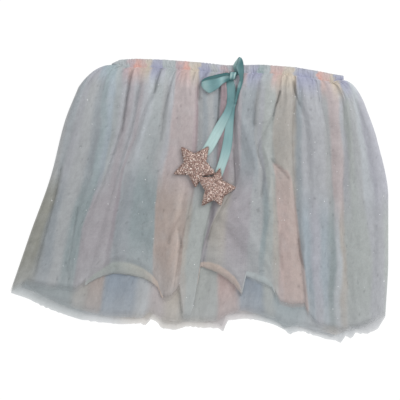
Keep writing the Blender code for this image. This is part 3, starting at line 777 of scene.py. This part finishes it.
def outer_front_sheet(rows=118, lip_rows=7):
    """The outer front from the seam to its hem, and the lip where the hem curls over."""
    columns = outer_front_columns()
    shares = [0.0] + [(j / (rows - 1)) ** 1.15 for j in range(rows)]
    crease_lines = [[line_x(row, v) for row in CREASES] for v in shares]
    dyes = [dye_lines(OUTER_STRIPES, v) for v in shares]
    hems = []
    for k, t in columns:
        hem_x = CREASES[k][5] + (CREASES[k + 1][5] - CREASES[k][5]) * t
        hem = along(OUTER_HEM, hem_x) + 0.8 * ragged(hem_x, 3, 2)
        even = sum(along(OUTER_HEM, hem_x + aside) for aside in (-18, -12, -6, 0, 6, 12, 18)) / 7
        hems.append((hem, even, along(OUTER_HEM, hem_x, 2), along(OUTER_HEM, hem_x, 3)))

    def place(i, j):
        k, t = columns[i]
        hem, even_hem, lift, curl = hems[i]
        lip = max(0, j - rows) / lip_rows
        v = shares[min(j, rows)]
        lines = crease_lines[min(j, rows)]
        crease, after = CREASES[k], CREASES[k + 1]
        width = lines[k + 1] - lines[k]
        x = lines[k] + width * t
        waist_x = crease[0] + (after[0] - crease[0]) * t
        mid_x = crease[3] + (after[3] - crease[3]) * t
        top = seam_y(waist_x) - SEAM_GAP
        y = top + (even_hem - top) * v + (hem - even_hem) * ease((v - 0.7) / 0.3)

        edge = min(x - lines[0], lines[-1] - x)
        turn = max(0.0, 1 - edge / ROLL)
        flat_top = OUTER_TOP - 1.6 * (1 - ease(v / 0.08)) - 1.7 * ease((v - 0.82) / 0.18)
        base = OUTER_EDGE_TOP + (flat_top - OUTER_EDGE_TOP) * math.sqrt(max(0.0, 1 - turn * turn))
        left_alone = pressed(x, y)
        fold = fold_height(crease, width, t, v, left_alone)
        # The crossing folds' height, and the painted highlight and shade along them
        cross, painted_light_and_shade = cross_fold(x, y)
        z = base + fold + ease(edge / 6) * (fine_relief(waist_x, mid_x, y, v, left_alone) + cross)
        z += 0.6 * lift * ease((v - 0.72) / 0.28) ** 1.5
        if edge > FLAT_RIM:
            z = max(z, CLEAR_OF_UNDER)
        if j == 0:
            y, z = y + CAUGHT_IN_SEAM, min(z, OUTER_TOP - CAUGHT_BELOW)
        if lip and edge > FLAT_RIM:
            z -= (z - CLEAR_OF_UNDER - 0.1) * (1 - math.cos(lip * math.pi / 2)) * ease(curl / 5)
        if lip:
            y -= (1.2 + curl) * math.sin(lip * math.pi / 2)
        lap = LAP * crease[7] * fold * ((1 - t) if crease[7] < 0 else t)

        # Painted shade along the creases, and the crossing folds' painted highlight and shade, go into the
        # colour
        darkness = crease[8] if t < 0.5 else after[8]
        shade = 1 + painted_light_and_shade - painted_crease_shade(darkness, min(width * t, width * (1 - t)), v)
        wander = 3.0 * patches(mid_x, y, 13, 42, 5) + 0.9 * patches(mid_x, y, 5, 12, 8)
        colour = dye_at(dyes[min(j, rows)], x + wander * ease(v / 0.06))
        colour = colour.lerp(CORAL_NET, 0.75 * on_coral(x, y))
        colour = clouded(colour * shade, mid_x, y, 60.0)
        thin = ease(1 - (y - hem) / OUTER_HEM_FADE)
        if curl > 2:
            thin = ease((lip - 0.6 + 0.3 * (lift < 2)) / 0.4)
            # Painted shade along the crest where the hem is caught up, deeper where it is lifted higher
            painted_crest_shade = 0.14 * lift / 6 * ease((v - 0.975) / 0.01)
            colour = colour.lerp(lip_colour(x), 0.7 * (1 - 0.4 * lip)) if lip else colour * (1 - painted_crest_shade)
        cover = NET_OF_FRONT + 0.16 * ease((y - 60) / 70) - 0.6 * thin
        return (x + lap, y, z), (mid_x * OUTER_FULLNESS, y), colour, cover

    return sheet_of_net("outer_front_cloth", len(columns) - 1, rows + lip_rows, place)


outer_front = outer_front_sheet()
outer_front.data.materials.append(striped_tulle)
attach(outer_front, "root")
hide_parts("outer_front")


# Waist casing
# A strip of the same net folded over narrow elastic and stitched closed, so that it ruches finely all round.

BAND_BACK_Z = 0.9
BAND_FRONT_Z = 6.5
RUCHE_HEIGHT = 0.6
BAND_COVER = 0.97

# The two rows of stitching: how far down the casing, and how wide each pulls it in, as shares of its height
BAND_STITCHING = ((0.14, 0.06), (0.88, 0.05))

# Stripes of the casing: x, then the dye
BAND_STRIPES = (
    (-93, "haze"), (-86, "mint"), (-78, "mint"), (-71, "rose"), (-66, "salmon"), (-58, "coral"),
    (-53, "honey"), (-47, "violet"), (-41, "violet"), (-36, "mint"), (-28, "mint"), (-22, "rose"),
    (-14, "salmon"), (-8, "honey"), (-2, "honey"), (3, "violet"), (9, "violet"), (15, "grey"),
    (20, "lilac"), (27, "rose"), (33, "haze"), (41, "rose"), (48, "lilac"), (58, "violet"), (64, "teal"),
    (71, "mint"), (77, "coral"), (85, "coral"), (91, "honey"), (96, "honey"), (101, "lilac"),
    (107, "violet"), (115, "violet"), (121, "lilac"), (125, "salmon"), (133, "coral"), (138, "honey"),
    (143, "violet"), (151, "violet"),
)


def casing_path(columns_front=620, columns_back=120, end_steps=8):
    """The way round the flat casing, along its front and back: x, z and the direction out."""
    middle, radius = (BAND_FRONT_Z + BAND_BACK_Z) / 2, (BAND_FRONT_Z - BAND_BACK_Z) / 2
    left, right = BAND_TOP[0][0] + radius, BAND_TOP[-1][0] - radius

    def end_turn(centre, start):
        turns = (math.pi * (start - k / end_steps) for k in range(end_steps))
        ways = [(math.cos(turn), math.sin(turn)) for turn in turns]
        return [(centre + radius * out_x, middle + radius * out_z, out_x, out_z) for out_x, out_z in ways]

    length = right - left
    front = [(left + length * k / columns_front, BAND_FRONT_Z, 0.0, 1.0) for k in range(columns_front)]
    back = [(right - length * k / columns_back, BAND_BACK_Z, 0.0, -1.0) for k in range(columns_back)]
    return front + end_turn(right, 0.5) + back + end_turn(left, 1.5)


def casing_ring(rows=12):
    """The casing as one closed ring, ruched in front and plainer at the back."""
    path = casing_path()
    places = [row[0] for row in BAND_STRIPES]
    dyes = [DYES[row[1]] for row in BAND_STRIPES]

    def place(i, j):
        x, z, out_x, out_z = path[i % len(path)]
        share = j / rows
        height = band_height(x)
        front = max(0.0, out_z)
        ruche = max(0.0, 1 - 2.2 * abs(patches(x, share * 1.3, 2.6, 1, 1)))
        crumple = patches(x, share * 4, 1.7, 1, 6)
        pinch = sum(0.5 * math.exp(-(((share - stitched) / wide) ** 2)) for stitched, wide in BAND_STITCHING)
        swell = (RUCHE_HEIGHT * ruche + 0.3 * crumple) * (1 - 0.6 * pinch) * (0.25 + 0.75 * front)
        puff = 0.4 * math.sin(math.pi * max(0.0, min(1.0, (share - 0.13) / 0.77))) * front
        out = swell + puff
        y = along(BAND_TOP, x) - height * share
        if j == 0:
            y += 0.5 * crumple - 0.2
        # Painted shade between the ruches and along the stitching, on the casing's front
        shade = 1 - 0.05 * (1 - ruche) * front - 0.02 * pinch * front
        wander = 4.0 * patches(x, share * 2, 5, 1, 2)
        colour = dye_at((places, dyes), x + wander).lerp(VEIL, 0.45 - 0.4 * share) * shade
        point = (x + out_x * out * 0.3, y, max(0.3, z + out_z * out))
        return point, (i * 0.6, height * share), clouded(colour, x * 1.5, y, 80.0), BAND_COVER

    casing = sheet_of_net("waist_casing", len(path), rows, place)
    seam = bmesh.new()
    seam.from_mesh(casing.data)
    bmesh.ops.remove_doubles(seam, verts=seam.verts, dist=1e-6)
    seam.to_mesh(casing.data)
    seam.free()
    return casing


casing_tulle = tulle("ruched casing tulle")
casing = casing_ring()
casing.data.materials.append(casing_tulle)
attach(casing, "root")
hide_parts("waistband")


# Ribbon tail, right
# One single-face satin ribbon is tied in a bow through the casing. Its right end hangs from the right loop,
# passes under the left tail and carries the right star.

RIBBON_LIFT = 0.35
WEAVE_WIDTH = 9.0
WEAVE_STEP = 1.2
SELVEDGE = (3.6, 4.4)
SATIN_LIT_AND_SHADED = ((0.0, "#336163"), (1.0, "#a6c0bd"), (0.5, "#6e9395"))
SATIN_THREADS = 4.0 * MM

# Both edges down the ribbon: left x, y, right x, y, then the painted sheen, from 0 for painted shade to 1 for
# painted light where the satin turns towards the window
RIGHT_TAIL = (
    (35.9, 104, 38.9, 101.3, 0.2), (32, 98.7, 37.4, 97.7, 0.25), (29.4, 92.4, 36.6, 90.8, 0.3),
    (27.7, 84, 35.7, 82.4, 0.55), (26.5, 75.1, 35.1, 73.5, 0.6), (24.8, 63.5, 34.4, 62, 0.56),
    (22.7, 52.5, 32.6, 50.9, 0.65), (20.2, 42.5, 29.2, 40.4, 0.85), (17.4, 33.8, 26, 31.5, 0.95),
    (15.3, 27.3, 23.6, 24.7, 1.0),
)


def tree_of(*pieces):
    """The pieces' surfaces as one search tree, for finding what lies where."""
    points, faces = [], []
    for piece in pieces:
        start = len(points)
        points += [vert.co.copy() for vert in piece.data.vertices]
        faces += [[start + index for index in face.vertices] for face in piece.data.polygons]
    return BVHTree.FromPolygons(points, faces)


def top_at(tree, x, y):
    """Height of the highest surface at x, y, in mm."""
    hit = tree.ray_cast(Vector((x * MM, y * MM, 0.1)), Vector((0, 0, -1)))[0]
    return hit.z / MM if hit else 0.0


def curve_at(t, a, b, c, d):
    """A value between b and c, on a curve that runs smoothly on to a and d."""
    return 0.5 * (2 * b + (c - a) * t + (2 * a - 5 * b + 4 * c - d) * t * t + (3 * b - a - 3 * c + d) * t**3)


def smooth_rows(rows, steps):
    """Rows of numbers with even steps between them, on a curve through every row."""
    made = []
    for k in range(len(rows) - 1):
        before, start, end, after = rows[max(k - 1, 0)], rows[k], rows[k + 1], rows[min(k + 2, len(rows) - 1)]
        for step in range(steps):
            t = step / steps
            made.append([curve_at(t, *values) for values in zip(before, start, end, after)])
    made.append(list(rows[-1]))
    return made


def top_between(tree, lx, ly, rx, ry):
    """Height of the highest surface under a ribbon, from its left to its right edge."""
    return max(top_at(tree, lx + (rx - lx) * t, ly + (ry - ly) * t) for t in (0, 0.25, 0.5, 0.75, 1))


def laid_rows(rows, tree, steps=6, slope=0.22):
    """A ribbon's edges with heights that let it lie on what is below, bending only gently."""
    made = smooth_rows(rows, steps)
    rests = [top_between(tree, *row[:4]) for row in made]
    reach = [0.0]
    for a, b in zip(made, made[1:]):
        reach.append(reach[-1] + math.hypot(b[0] - a[0], b[1] - a[1]))
    heights = [max(rest - slope * abs(here - far) for far, rest in zip(reach, rests)) for here in reach]
    lifted = [height + RIBBON_LIFT for height in heights]
    return [(lx, ly, z, rx, ry, z, painted_sheen) for (lx, ly, rx, ry, painted_sheen), z in zip(made, lifted)]


def woven(name, lines, step, turned=False):
    """Ribbon through lines of points that run across it: x, y, z and painted sheen. Its weave goes one step
    further with each line, and turned, its faces look the other way.
    """
    mesh = bmesh.new()
    weave = mesh.loops.layers.uv.new("cloth")
    painted_sheen_layer = mesh.verts.layers.float.new("painted_sheen")
    grid, flat = [], {}
    for j, line in enumerate(lines):
        grid.append([])
        for i, (x, y, z, painted_sheen) in enumerate(line):
            vert = mesh.verts.new(Vector((x, y, z)) * MM)
            vert[painted_sheen_layer] = painted_sheen
            flat[vert] = (i / (len(line) - 1) * WEAVE_WIDTH * MM, j * step * MM)
            grid[-1].append(vert)
    for upper, lower in zip(grid, grid[1:]):
        for c in range(len(upper) - 1):
            corners = [upper[c], lower[c], lower[c + 1], upper[c + 1]]
            if turned:
                corners[1], corners[3] = corners[3], corners[1]
            face = mesh.faces.new(corners)
            face.smooth = True
            for loop in face.loops:
                loop[weave].uv = flat[loop.vert]
    return piece_from(mesh, name)


def ribbon(name, rows, cup, across=8):
    """A strip between two edges, cupped a little across its width."""
    shares = [c / across for c in range(across + 1)]
    lines = []
    for lx, ly, lz, rx, ry, rz, painted_sheen in rows:
        lines.append([
            (lx + (rx - lx) * t, ly + (ry - ly) * t, lz + (rz - lz) * t + cup * math.sin(math.pi * t), painted_sheen)
            for t in shares
        ])
    return woven(name, lines, WEAVE_STEP)


def shaded_by(tree, value, shades):
    """The colour for a value, blended between shades, each at its place. The two outer ones come first."""
    ramp = add_node(tree, "ShaderNodeValToRGB", links={"Fac": value})
    for k, (place, colour) in enumerate(shades):
        element = ramp.color_ramp.elements[k] if k < 2 else ramp.color_ramp.elements.new(place)
        element.position, element.color = place, linear(colour)
    return ramp.outputs["Color"]


def satin():
    """Polyester satin: smooth threads in painted light and painted shade down the ribbon, and darker woven
    edges.
    """
    material, tree, shader = principled("sea green satin", {
        "Roughness": 0.35, "Specular IOR Level": 0.45, "Sheen Weight": 0.1, "Anisotropic": 0.4,
    })
    weave = add_node(tree, "ShaderNodeUVMap", {"uv_map": "cloth"}).outputs["UV"]
    # The painted sheen: painted light and shade laid into the satin's colour
    painted_sheen = add_node(tree, "ShaderNodeAttribute", {"attribute_name": "painted_sheen"}).outputs["Fac"]
    # The satin's colour runs from painted shade to painted light with the painted sheen
    dye_with_painted_light = shaded_by(tree, painted_sheen, SATIN_LIT_AND_SHADED)
    across = add_node(tree, "ShaderNodeSeparateXYZ", links={"Vector": weave}).outputs["X"]
    aside = add_node(tree, "ShaderNodeMath", {"operation": "SUBTRACT"}, {0: across, 1: WEAVE_WIDTH / 2 * MM})
    from_middle = add_node(tree, "ShaderNodeMath", {"operation": "ABSOLUTE"}, {0: aside.outputs["Value"]})
    selvedge = ranged(tree, from_middle.outputs["Value"], SELVEDGE[0] * MM, SELVEDGE[1] * MM, 1.0, 0.72)
    drawn_out = add_node(tree, "ShaderNodeMapping", links={"Vector": weave, "Scale": (6, 0.4, 1)})
    threads = add_node(tree, "ShaderNodeTexNoise", links={
        "Vector": drawn_out.outputs["Vector"], "Scale": 1 / SATIN_THREADS, "Detail": 2,
    }).outputs["Fac"]
    glow = ranged(tree, threads, 0.3, 0.7, 0.93, 1.07)
    shade = add_node(tree, "ShaderNodeMath", {"operation": "MULTIPLY"}, {0: selvedge, 1: glow})
    tinted = add_node(tree, "ShaderNodeVectorMath", {"operation": "SCALE"}, {
        0: dye_with_painted_light, "Scale": shade.outputs["Value"],
    })
    tree.links.new(tinted.outputs["Vector"], shader.inputs["Base Color"])
    return material


satin_ribbon = satin()
cloth_tree = tree_of(outer_front, casing)

tail_right = ribbon("tail_right_ribbon", laid_rows(RIGHT_TAIL, cloth_tree), cup=0.3)
tail_right.data.materials.append(satin_ribbon)
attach(tail_right, "root")
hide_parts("tail_right")


# Ribbon tail, left
# The ribbon's left end comes out under the knot, crosses over the right tail and carries the left star.

# Both edges down the ribbon: left x, y, right x, y, then the painted sheen
LEFT_TAIL = (
    (28.1, 126.5, 35.5, 126, 0.05), (28, 120.8, 37.2, 119.7, 0.3), (28.6, 114.5, 38, 113.4, 0.38),
    (28.7, 107.1, 37.6, 106.6, 0.28), (28, 100, 35.4, 98.7, 0.3), (25.4, 93.1, 32.6, 89.8, 0.5),
    (21.1, 86.1, 29, 81.5, 0.7), (16.4, 78.5, 25.2, 73.1, 0.85), (12.3, 71.2, 21.4, 65.7, 0.95),
    (8.3, 63.4, 17.4, 58, 1.0), (4, 56.1, 12.8, 50.6, 1.0), (1.1, 52, 8.9, 46.7, 0.9),
)

below_tail = tree_of(outer_front, casing, tail_right)
tail_left = ribbon("tail_left_ribbon", laid_rows(LEFT_TAIL, below_tail), cup=0.3)
tail_left.data.materials.append(satin_ribbon)
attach(tail_left, "root")
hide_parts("tail_left")


# Bow loop, right
# The loop stands up past the waist and turns over at its top. Its front strap narrows as it runs down to the
# right tail.

# Both edges from behind the knot, over the top and down to the tail: left x, y, z, right x, y, z, and painted
# sheen
RIGHT_LOOP = (
    (37.3, 130.4, 10.2, 41, 130.7, 10.2, 0.3), (36.3, 135.5, 9.9, 43.1, 134.9, 9.9, 0.4),
    (35.1, 140.5, 10, 44.7, 140.7, 10, 0.8), (37.8, 145.5, 10.6, 44.6, 145.4, 10.6, 0.9),
    (41.5, 149.7, 11.8, 43.5, 148.9, 11.8, 0.5), (40.2, 145, 13, 45.3, 145.1, 13, 0.08),
    (37.5, 140.5, 13.8, 46.1, 139.1, 13.8, 0.1), (39.0, 135.7, 14, 46.3, 134.6, 14, 0.16),
    (40.8, 131, 13.6, 45.9, 129.6, 13.6, 0.1), (41.7, 126.2, 12.9, 45.3, 124.5, 12.9, 0.12),
    (40.2, 120.5, 12.2, 44, 118.7, 12.2, 0.2), (38.9, 115.3, 11.8, 42, 113.4, 11.8, 0.15),
    (37.8, 109.2, 11.5, 39.9, 106.6, 11.5, 0.2), (36.8, 103.4, 11.4, 38, 100.3, 11.4, 0.2),
)


def clear_of(rows, tree, lift=0.9):
    """A ribbon's edges, raised where the strip between them would dip into what is below."""
    made = []
    for lx, ly, lz, rx, ry, rz, painted_sheen in rows:
        rest = top_between(tree, lx, ly, rx, ry) + lift
        made.append((lx, ly, max(lz, rest), rx, ry, max(rz, rest), painted_sheen))
    return made


below_bow = tree_of(outer_front, casing, tail_left, tail_right)
loop_right = ribbon("loop_right_ribbon", clear_of(smooth_rows(RIGHT_LOOP, 6), below_bow), cup=-0.5)
loop_right.data.materials.append(satin_ribbon)
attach(loop_right, "root")
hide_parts("bow_loop_right")


# Bow loop, left
# The loop lies to the left of the knot. Its front strap is wider, and the back one shows darker above it, in
# painted shade.

# Both edges from the knot, round the loop's end and back: lower x, y, z, upper x, y, z, then the painted
# sheen
LEFT_LOOP = (
    (32, 125.5, 12.6, 32, 130.4, 12.6, 0.0), (27.8, 123.4, 14.2, 27.8, 130, 14.2, 0.1),
    (23.8, 121, 15.4, 23.1, 128.7, 15.4, 0.62), (19.7, 116.9, 16, 17.9, 127.2, 16, 0.4),
    (14.7, 113.6, 15.8, 12.6, 126.2, 15.8, 0.35), (9.9, 111.8, 15, 7.9, 125.4, 15, 0.6),
    (4.8, 115.2, 13.8, 4.8, 124.5, 13.8, 0.75), (2, 118.9, 12.5, 2.7, 123.7, 12.5, 0.6),
    (1.7, 120.5, 11.4, 2.1, 124.5, 11.4, 0.3), (3.4, 120.1, 10.7, 3.6, 126.4, 10.7, 0.1),
    (7.9, 119.7, 10.5, 8.2, 128.8, 10.5, 0.05), (14.7, 121.8, 10.6, 15.1, 130.6, 10.6, 0.08),
    (22.1, 125, 10.9, 22.2, 132.3, 10.9, 0.05), (28.4, 127.1, 11.2, 27.8, 133.2, 11.2, 0.0),
    (32, 128.1, 11.2, 32, 132.3, 11.2, 0.0),
)

loop_left = ribbon("loop_left_ribbon", smooth_rows(LEFT_LOOP, 6), cup=0.8)
loop_left.data.materials.append(satin_ribbon)
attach(loop_left, "root")
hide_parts("bow_loop_left")


# Bow knot
# The ribbon's own turn round the middle of the bow, pulled tight so that it pleats lengthways.

KNOT_AT = (34.4, 129.9)
KNOT_HALF = (4.6, 4.3)
KNOT_LOW = 9.6
KNOT_RISE = 5.4
KNOT_SWEEP = 112
KNOT_WEAVE_STEP = 1.0
# Painted sheen across the knot, side to side: painted highlights on its pleats and painted shade between them
KNOT_PAINTED_SHEEN = (0.0, 0.15, 0.75, 1.1, 0.45, 0.25, 0.95, 0.35, 0.05)


def knot_turn(columns=16, rows=20):
    """The turn over the top of the knot, from under its lower side to under its upper side."""
    lines = []
    for j in range(rows + 1):
        angle = math.radians(KNOT_SWEEP * (2 * j / rows - 1))
        line = []
        for i in range(columns + 1):
            s = 2 * i / columns - 1
            pleat = 0.3 * math.cos(3 * math.pi * s + 0.6) * math.cos(angle / 1.5)
            waist = 1 - 0.22 * math.cos(angle) * abs(s)
            x = KNOT_AT[0] + KNOT_HALF[0] * s * waist + 0.9 * math.sin(angle)
            y = KNOT_AT[1] + (KNOT_HALF[1] - 0.9 * s * s) * math.sin(angle)
            z = KNOT_LOW + (KNOT_RISE - 1.5 * s**4 + pleat) * max(0.0, 0.25 + 0.75 * math.cos(angle))
            painted_sheen = KNOT_PAINTED_SHEEN[round(i / columns * (len(KNOT_PAINTED_SHEEN) - 1))]
            # The painted sheen fades to painted shade at both ends, where the turn goes under
            line.append((x, y, z, painted_sheen * math.sin(math.pi * j / rows)))
        lines.append(line)
    return woven("bow_knot_ribbon", lines, KNOT_WEAVE_STEP, turned=True)


knot = knot_turn()
knot.data.materials.append(satin_ribbon)
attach(knot, "root")
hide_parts("bow_knot")


# Star, left
# Two faces of glitter fabric round soft filling, fixed to the left tail's end. The glitter is rose gold: flat
# hexagonal flakes in clear glue, lying at every angle.

STAR_THICK = 4.6
STAR_GAP = 0.2
TIP_ROUNDING = 22
FABRIC_GRAIN = 0.9 * MM

# Centre, then tips and notches in turn as direction in degrees and reach, and how far the left side is raised
LEFT_STAR = (
    (-4.8, 37.5),
    ((53, 24.8), (91, 11.4), (128, 24.4), (167, 11.7), (204, 25.2), (239, 12.6), (271, 25.0), (303, 14.6),
     (336, 24.8), (375, 12.2)),
    0.0,
)


def star_outline(tips, spokes):
    """Directions and reaches round a five-pointed star with straight sides, deep notches and rounded tips."""
    corners = [(math.radians(turn), reach) for turn, reach in tips]
    corners.append((corners[0][0] + 2 * math.pi, corners[0][1]))
    outline = []
    steps = spokes // len(tips)
    for (start, near), (end, far) in zip(corners, corners[1:]):
        for step in range(steps):
            angle = start + (end - start) * step / steps
            slant = near * math.sin(angle - start) + far * math.sin(end - angle)
            side = near * far * math.sin(end - start) / slant
            rounded = 0.96 * max(near, far)
            reach = (side**-TIP_ROUNDING + rounded**-TIP_ROUNDING) ** (-1 / TIP_ROUNDING)
            outline.append((angle, reach))
    return outline


def padded_star(name, star, tree, spokes=150, rings=11):
    """A padded star lying on what is below it: a domed top, a flatter underside and a pinched edge."""
    (x0, y0), tips, tilt = star
    outline = star_outline(tips, spokes)
    floor = max(
        top_at(tree, x0 + r * t * math.cos(a), y0 + r * t * math.sin(a)) + tilt * r * t * math.cos(a)
        for a, r in outline[::3] for t in (0.0, 0.3, 0.6, 0.9)
    )
    mesh = bmesh.new()

    def ring(share, side):
        plump = (1 - share**3) ** 0.6
        z = STAR_THICK * (0.35 + 0.65 * plump if side > 0 else 0.3 * (1 - plump))
        return [
            mesh.verts.new(Vector((
                x0 + r * share * math.cos(a), y0 + r * share * math.sin(a),
                floor + STAR_GAP + z - tilt * r * share * math.cos(a))) * MM)
            for a, r in outline
        ]

    shares = [math.sin(math.pi / 2 * k / rings) for k in range(1, rings + 1)]
    top = [ring(share, 1) for share in shares]
    under = [ring(share, -1) for share in shares]
    for loops in (top, under):
        centre = mesh.verts.new(sum((vert.co for vert in loops[0]), Vector()) / spokes)
        for k in range(spokes):
            after = (k + 1) % spokes
            mesh.faces.new((centre, loops[0][k], loops[0][after]))
            for inner, outer in zip(loops, loops[1:]):
                mesh.faces.new((inner[k], outer[k], outer[after], inner[after]))
    for k in range(spokes):
        after = (k + 1) % spokes
        mesh.faces.new((top[-1][k], under[-1][k], under[-1][after], top[-1][after]))
    bmesh.ops.recalc_face_normals(mesh, faces=mesh.faces)
    for face in mesh.faces:
        face.smooth = True
    return piece_from(mesh, name)


def flake_tree():
    """Geometry Nodes: small flat flakes over a mesh's upper side, each at its own angle and size."""
    tree = bpy.data.node_groups.new("flakes", "GeometryNodeTree")
    face = tree.interface
    face.new_socket("Geometry", in_out="INPUT", socket_type="NodeSocketGeometry")
    for name, kind, value in (
        ("Density", "NodeSocketFloat", 1.0), ("Radius", "NodeSocketFloat", 0.5 * MM),
        ("Lift", "NodeSocketFloat", 0.2 * MM), ("Tilt", "NodeSocketFloat", 0.4),
        ("Seed", "NodeSocketInt", 1), ("Material", "NodeSocketMaterial", None),
    ):
        socket = face.new_socket(name, in_out="INPUT", socket_type=kind)
        if value is not None:
            socket.default_value = value
    face.new_socket("Geometry", in_out="OUTPUT", socket_type="NodeSocketGeometry")
    given = add_node(tree, "NodeGroupInput").outputs
    normal = add_node(tree, "GeometryNodeInputNormal").outputs["Normal"]
    upward = add_node(tree, "ShaderNodeSeparateXYZ", links={"Vector": normal}).outputs["Z"]
    facing_up = add_node(tree, "FunctionNodeCompare", {"operation": "GREATER_THAN"}, {"A": upward, "B": 0.05})
    points = add_node(tree, "GeometryNodeDistributePointsOnFaces", links={
        "Mesh": given["Geometry"], "Selection": facing_up.outputs["Result"], "Density": given["Density"],
        "Seed": given["Seed"]})
    off = add_node(tree, "ShaderNodeVectorMath", {"operation": "SCALE"}, {
        0: points.outputs["Normal"], "Scale": given["Lift"]})
    raised = add_node(tree, "GeometryNodeSetPosition", links={
        "Geometry": points.outputs["Points"], "Offset": off.outputs["Vector"]})
    flake = add_node(tree, "GeometryNodeMeshCircle", {"fill_type": "NGON"}, {
        "Vertices": 6, "Radius": given["Radius"]})
    lean_back = add_node(tree, "ShaderNodeMath", {"operation": "MULTIPLY"}, {0: given["Tilt"], 1: -1.0})
    low = add_node(tree, "ShaderNodeCombineXYZ", links={
        "X": lean_back.outputs["Value"], "Y": lean_back.outputs["Value"], "Z": 0.0})
    high = add_node(tree, "ShaderNodeCombineXYZ", links={"X": given["Tilt"], "Y": given["Tilt"], "Z": 6.28})
    turn = add_node(tree, "FunctionNodeRandomValue", {"data_type": "FLOAT_VECTOR"}, {
        0: low.outputs["Vector"], 1: high.outputs["Vector"], "Seed": given["Seed"]})
    facing = add_node(tree, "FunctionNodeRotateRotation", {"rotation_space": "LOCAL"}, {
        "Rotation": points.outputs["Rotation"], "Rotate By": turn.outputs["Value"]})
    size = add_node(tree, "FunctionNodeRandomValue", {"data_type": "FLOAT"}, {
        2: 0.6, 3: 1.1, "Seed": given["Seed"]})
    placed = add_node(tree, "GeometryNodeInstanceOnPoints", links={
        "Points": raised.outputs["Geometry"], "Instance": flake.outputs["Mesh"],
        "Rotation": facing.outputs["Rotation"], "Scale": size.outputs[1]})
    pick = add_node(tree, "FunctionNodeRandomValue", {"data_type": "FLOAT"}, {
        2: 0.0, 3: 1.0, "Seed": given["Seed"]})
    marked = add_node(tree, "GeometryNodeStoreNamedAttribute", {"data_type": "FLOAT", "domain": "INSTANCE"}, {
        "Geometry": placed.outputs["Instances"], "Name": "fleck", "Value": pick.outputs[1]})
    real = add_node(tree, "GeometryNodeRealizeInstances", links={"Geometry": marked.outputs["Geometry"]})
    coated = add_node(tree, "GeometryNodeSetMaterial", links={
        "Geometry": real.outputs["Geometry"], "Material": given["Material"]})
    add_node(tree, "NodeGroupOutput", links={"Geometry": coated.outputs["Geometry"]})
    return tree


flakes_over = flake_tree()


def scatter(name, on, **values):
    """Flakes over a piece as an object of their own."""
    holder = bpy.data.objects.new(name, on.data.copy())
    bpy.context.scene.collection.objects.link(holder)
    modifier = holder.modifiers.new("flakes", "NODES")
    modifier.node_group = flakes_over
    inputs = [item for item in flakes_over.interface.items_tree if item.in_out == "INPUT"]
    sockets = {item.name: item.identifier for item in inputs}
    for key, value in values.items():
        modifier[sockets[key]] = value
    bpy.context.view_layer.update()
    shown = holder.evaluated_get(bpy.context.evaluated_depsgraph_get())
    made = bpy.data.meshes.new_from_object(shown)
    made.name = name
    holder.modifiers.remove(modifier)
    holder.data = made
    return holder


def fleck_material(name, shades, values):
    """Flakes in several shades, picked at random for each: painted shade on the dark ones, painted glints on
    the palest.
    """
    material, tree, shader = principled(name, values)
    fleck = add_node(tree, "ShaderNodeAttribute", {"attribute_name": "fleck"}).outputs["Fac"]
    tree.links.new(shaded_by(tree, fleck, shades), shader.inputs["Base Color"])
    return material


def glitter_fabric():
    """Fabric under the flakes: cloth coated in glue and fine glitter dust, which looks brown and grainy."""
    material, tree, shader = principled("glitter fabric", {"Roughness": 0.6, "Specular IOR Level": 0.4})
    place = add_node(tree, "ShaderNodeTexCoord").outputs["Object"]
    grains = add_node(tree, "ShaderNodeTexNoise", links={
        "Vector": place, "Scale": 1 / FABRIC_GRAIN, "Detail": 2, "Roughness": 0.8,
    }).outputs["Fac"]
    dust = shaded_by(tree, grains, ((0.38, "#5f4c45"), (0.66, "#b08f83")))
    tree.links.new(dust, shader.inputs["Base Color"])
    return material


star_fabric = glitter_fabric()

# Polyester flakes with a thin coat of metal under lacquer. Most look brown, and a few catch the light: their
# tilt and metal give real glints, and the near-white shades add painted glints.
rose_gold_flakes = fleck_material("rose gold flakes", (
    (0.0, "#54433c"), (1.0, "#fff6ec"), (0.3, "#86695f"), (0.62, "#ad8d82"), (0.86, "#dcc2b4"),
), {"Metallic": 0.35, "Roughness": 0.35})
STAR_FLAKES = {
    "Density": 2.7 / MM**2, "Radius": 0.42 * MM, "Lift": 0.25 * MM, "Tilt": 0.45,
    "Material": rose_gold_flakes,
}

star_left = padded_star("star_left_padding", LEFT_STAR, tree_of(outer_front, tail_left))
star_left.data.materials.append(star_fabric)
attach(star_left, "root")
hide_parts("star_left")

flakes_left = scatter("star_left_flakes", star_left, Seed=11, **STAR_FLAKES)
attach(flakes_left, "root")


# Star, right
# The same star on the right tail's end, leaning on the left star.

# Centre, tips and tilt, as for the left star
RIGHT_STAR = (
    (16.1, 12.2),
    ((76, 23.4), (102, 12.6), (147, 22.0), (190, 10.6), (232, 23.4), (264, 11.6), (289, 19.6), (320, 12.0),
     (363, 23.0), (410, 11.6)),
    0.12,
)

star_right = padded_star("star_right_padding", RIGHT_STAR, tree_of(outer_front, tail_right, star_left))
star_right.data.materials.append(star_fabric)
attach(star_right, "root")
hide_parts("star_right")

flakes_right = scatter("star_right_flakes", star_right, Seed=23, **STAR_FLAKES)
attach(flakes_right, "root")


# Glitter on the net
# Silver specks are glued thinly over the outer layer, about one to every three square centimetres.

# Polyester glitter with a silver coat: pale points, of which a few are bright, painted near white as glints,
# and some painted dark grey as dark reflections
silver_specks = fleck_material("silver specks", (
    (0.0, "#777f83"), (1.0, "#ffffff"), (0.55, "#8d9396"), (0.72, "#c4c8ca"), (0.85, "#f4f6f7"),
), {"Metallic": 0.3, "Roughness": 0.3})
specks = scatter(
    "net_specks", outer_front, Seed=5, Density=0.0034 / MM**2, Radius=0.36 * MM, Lift=0.3 * MM, Tilt=0.3,
    Material=silver_specks)
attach(specks, "root")
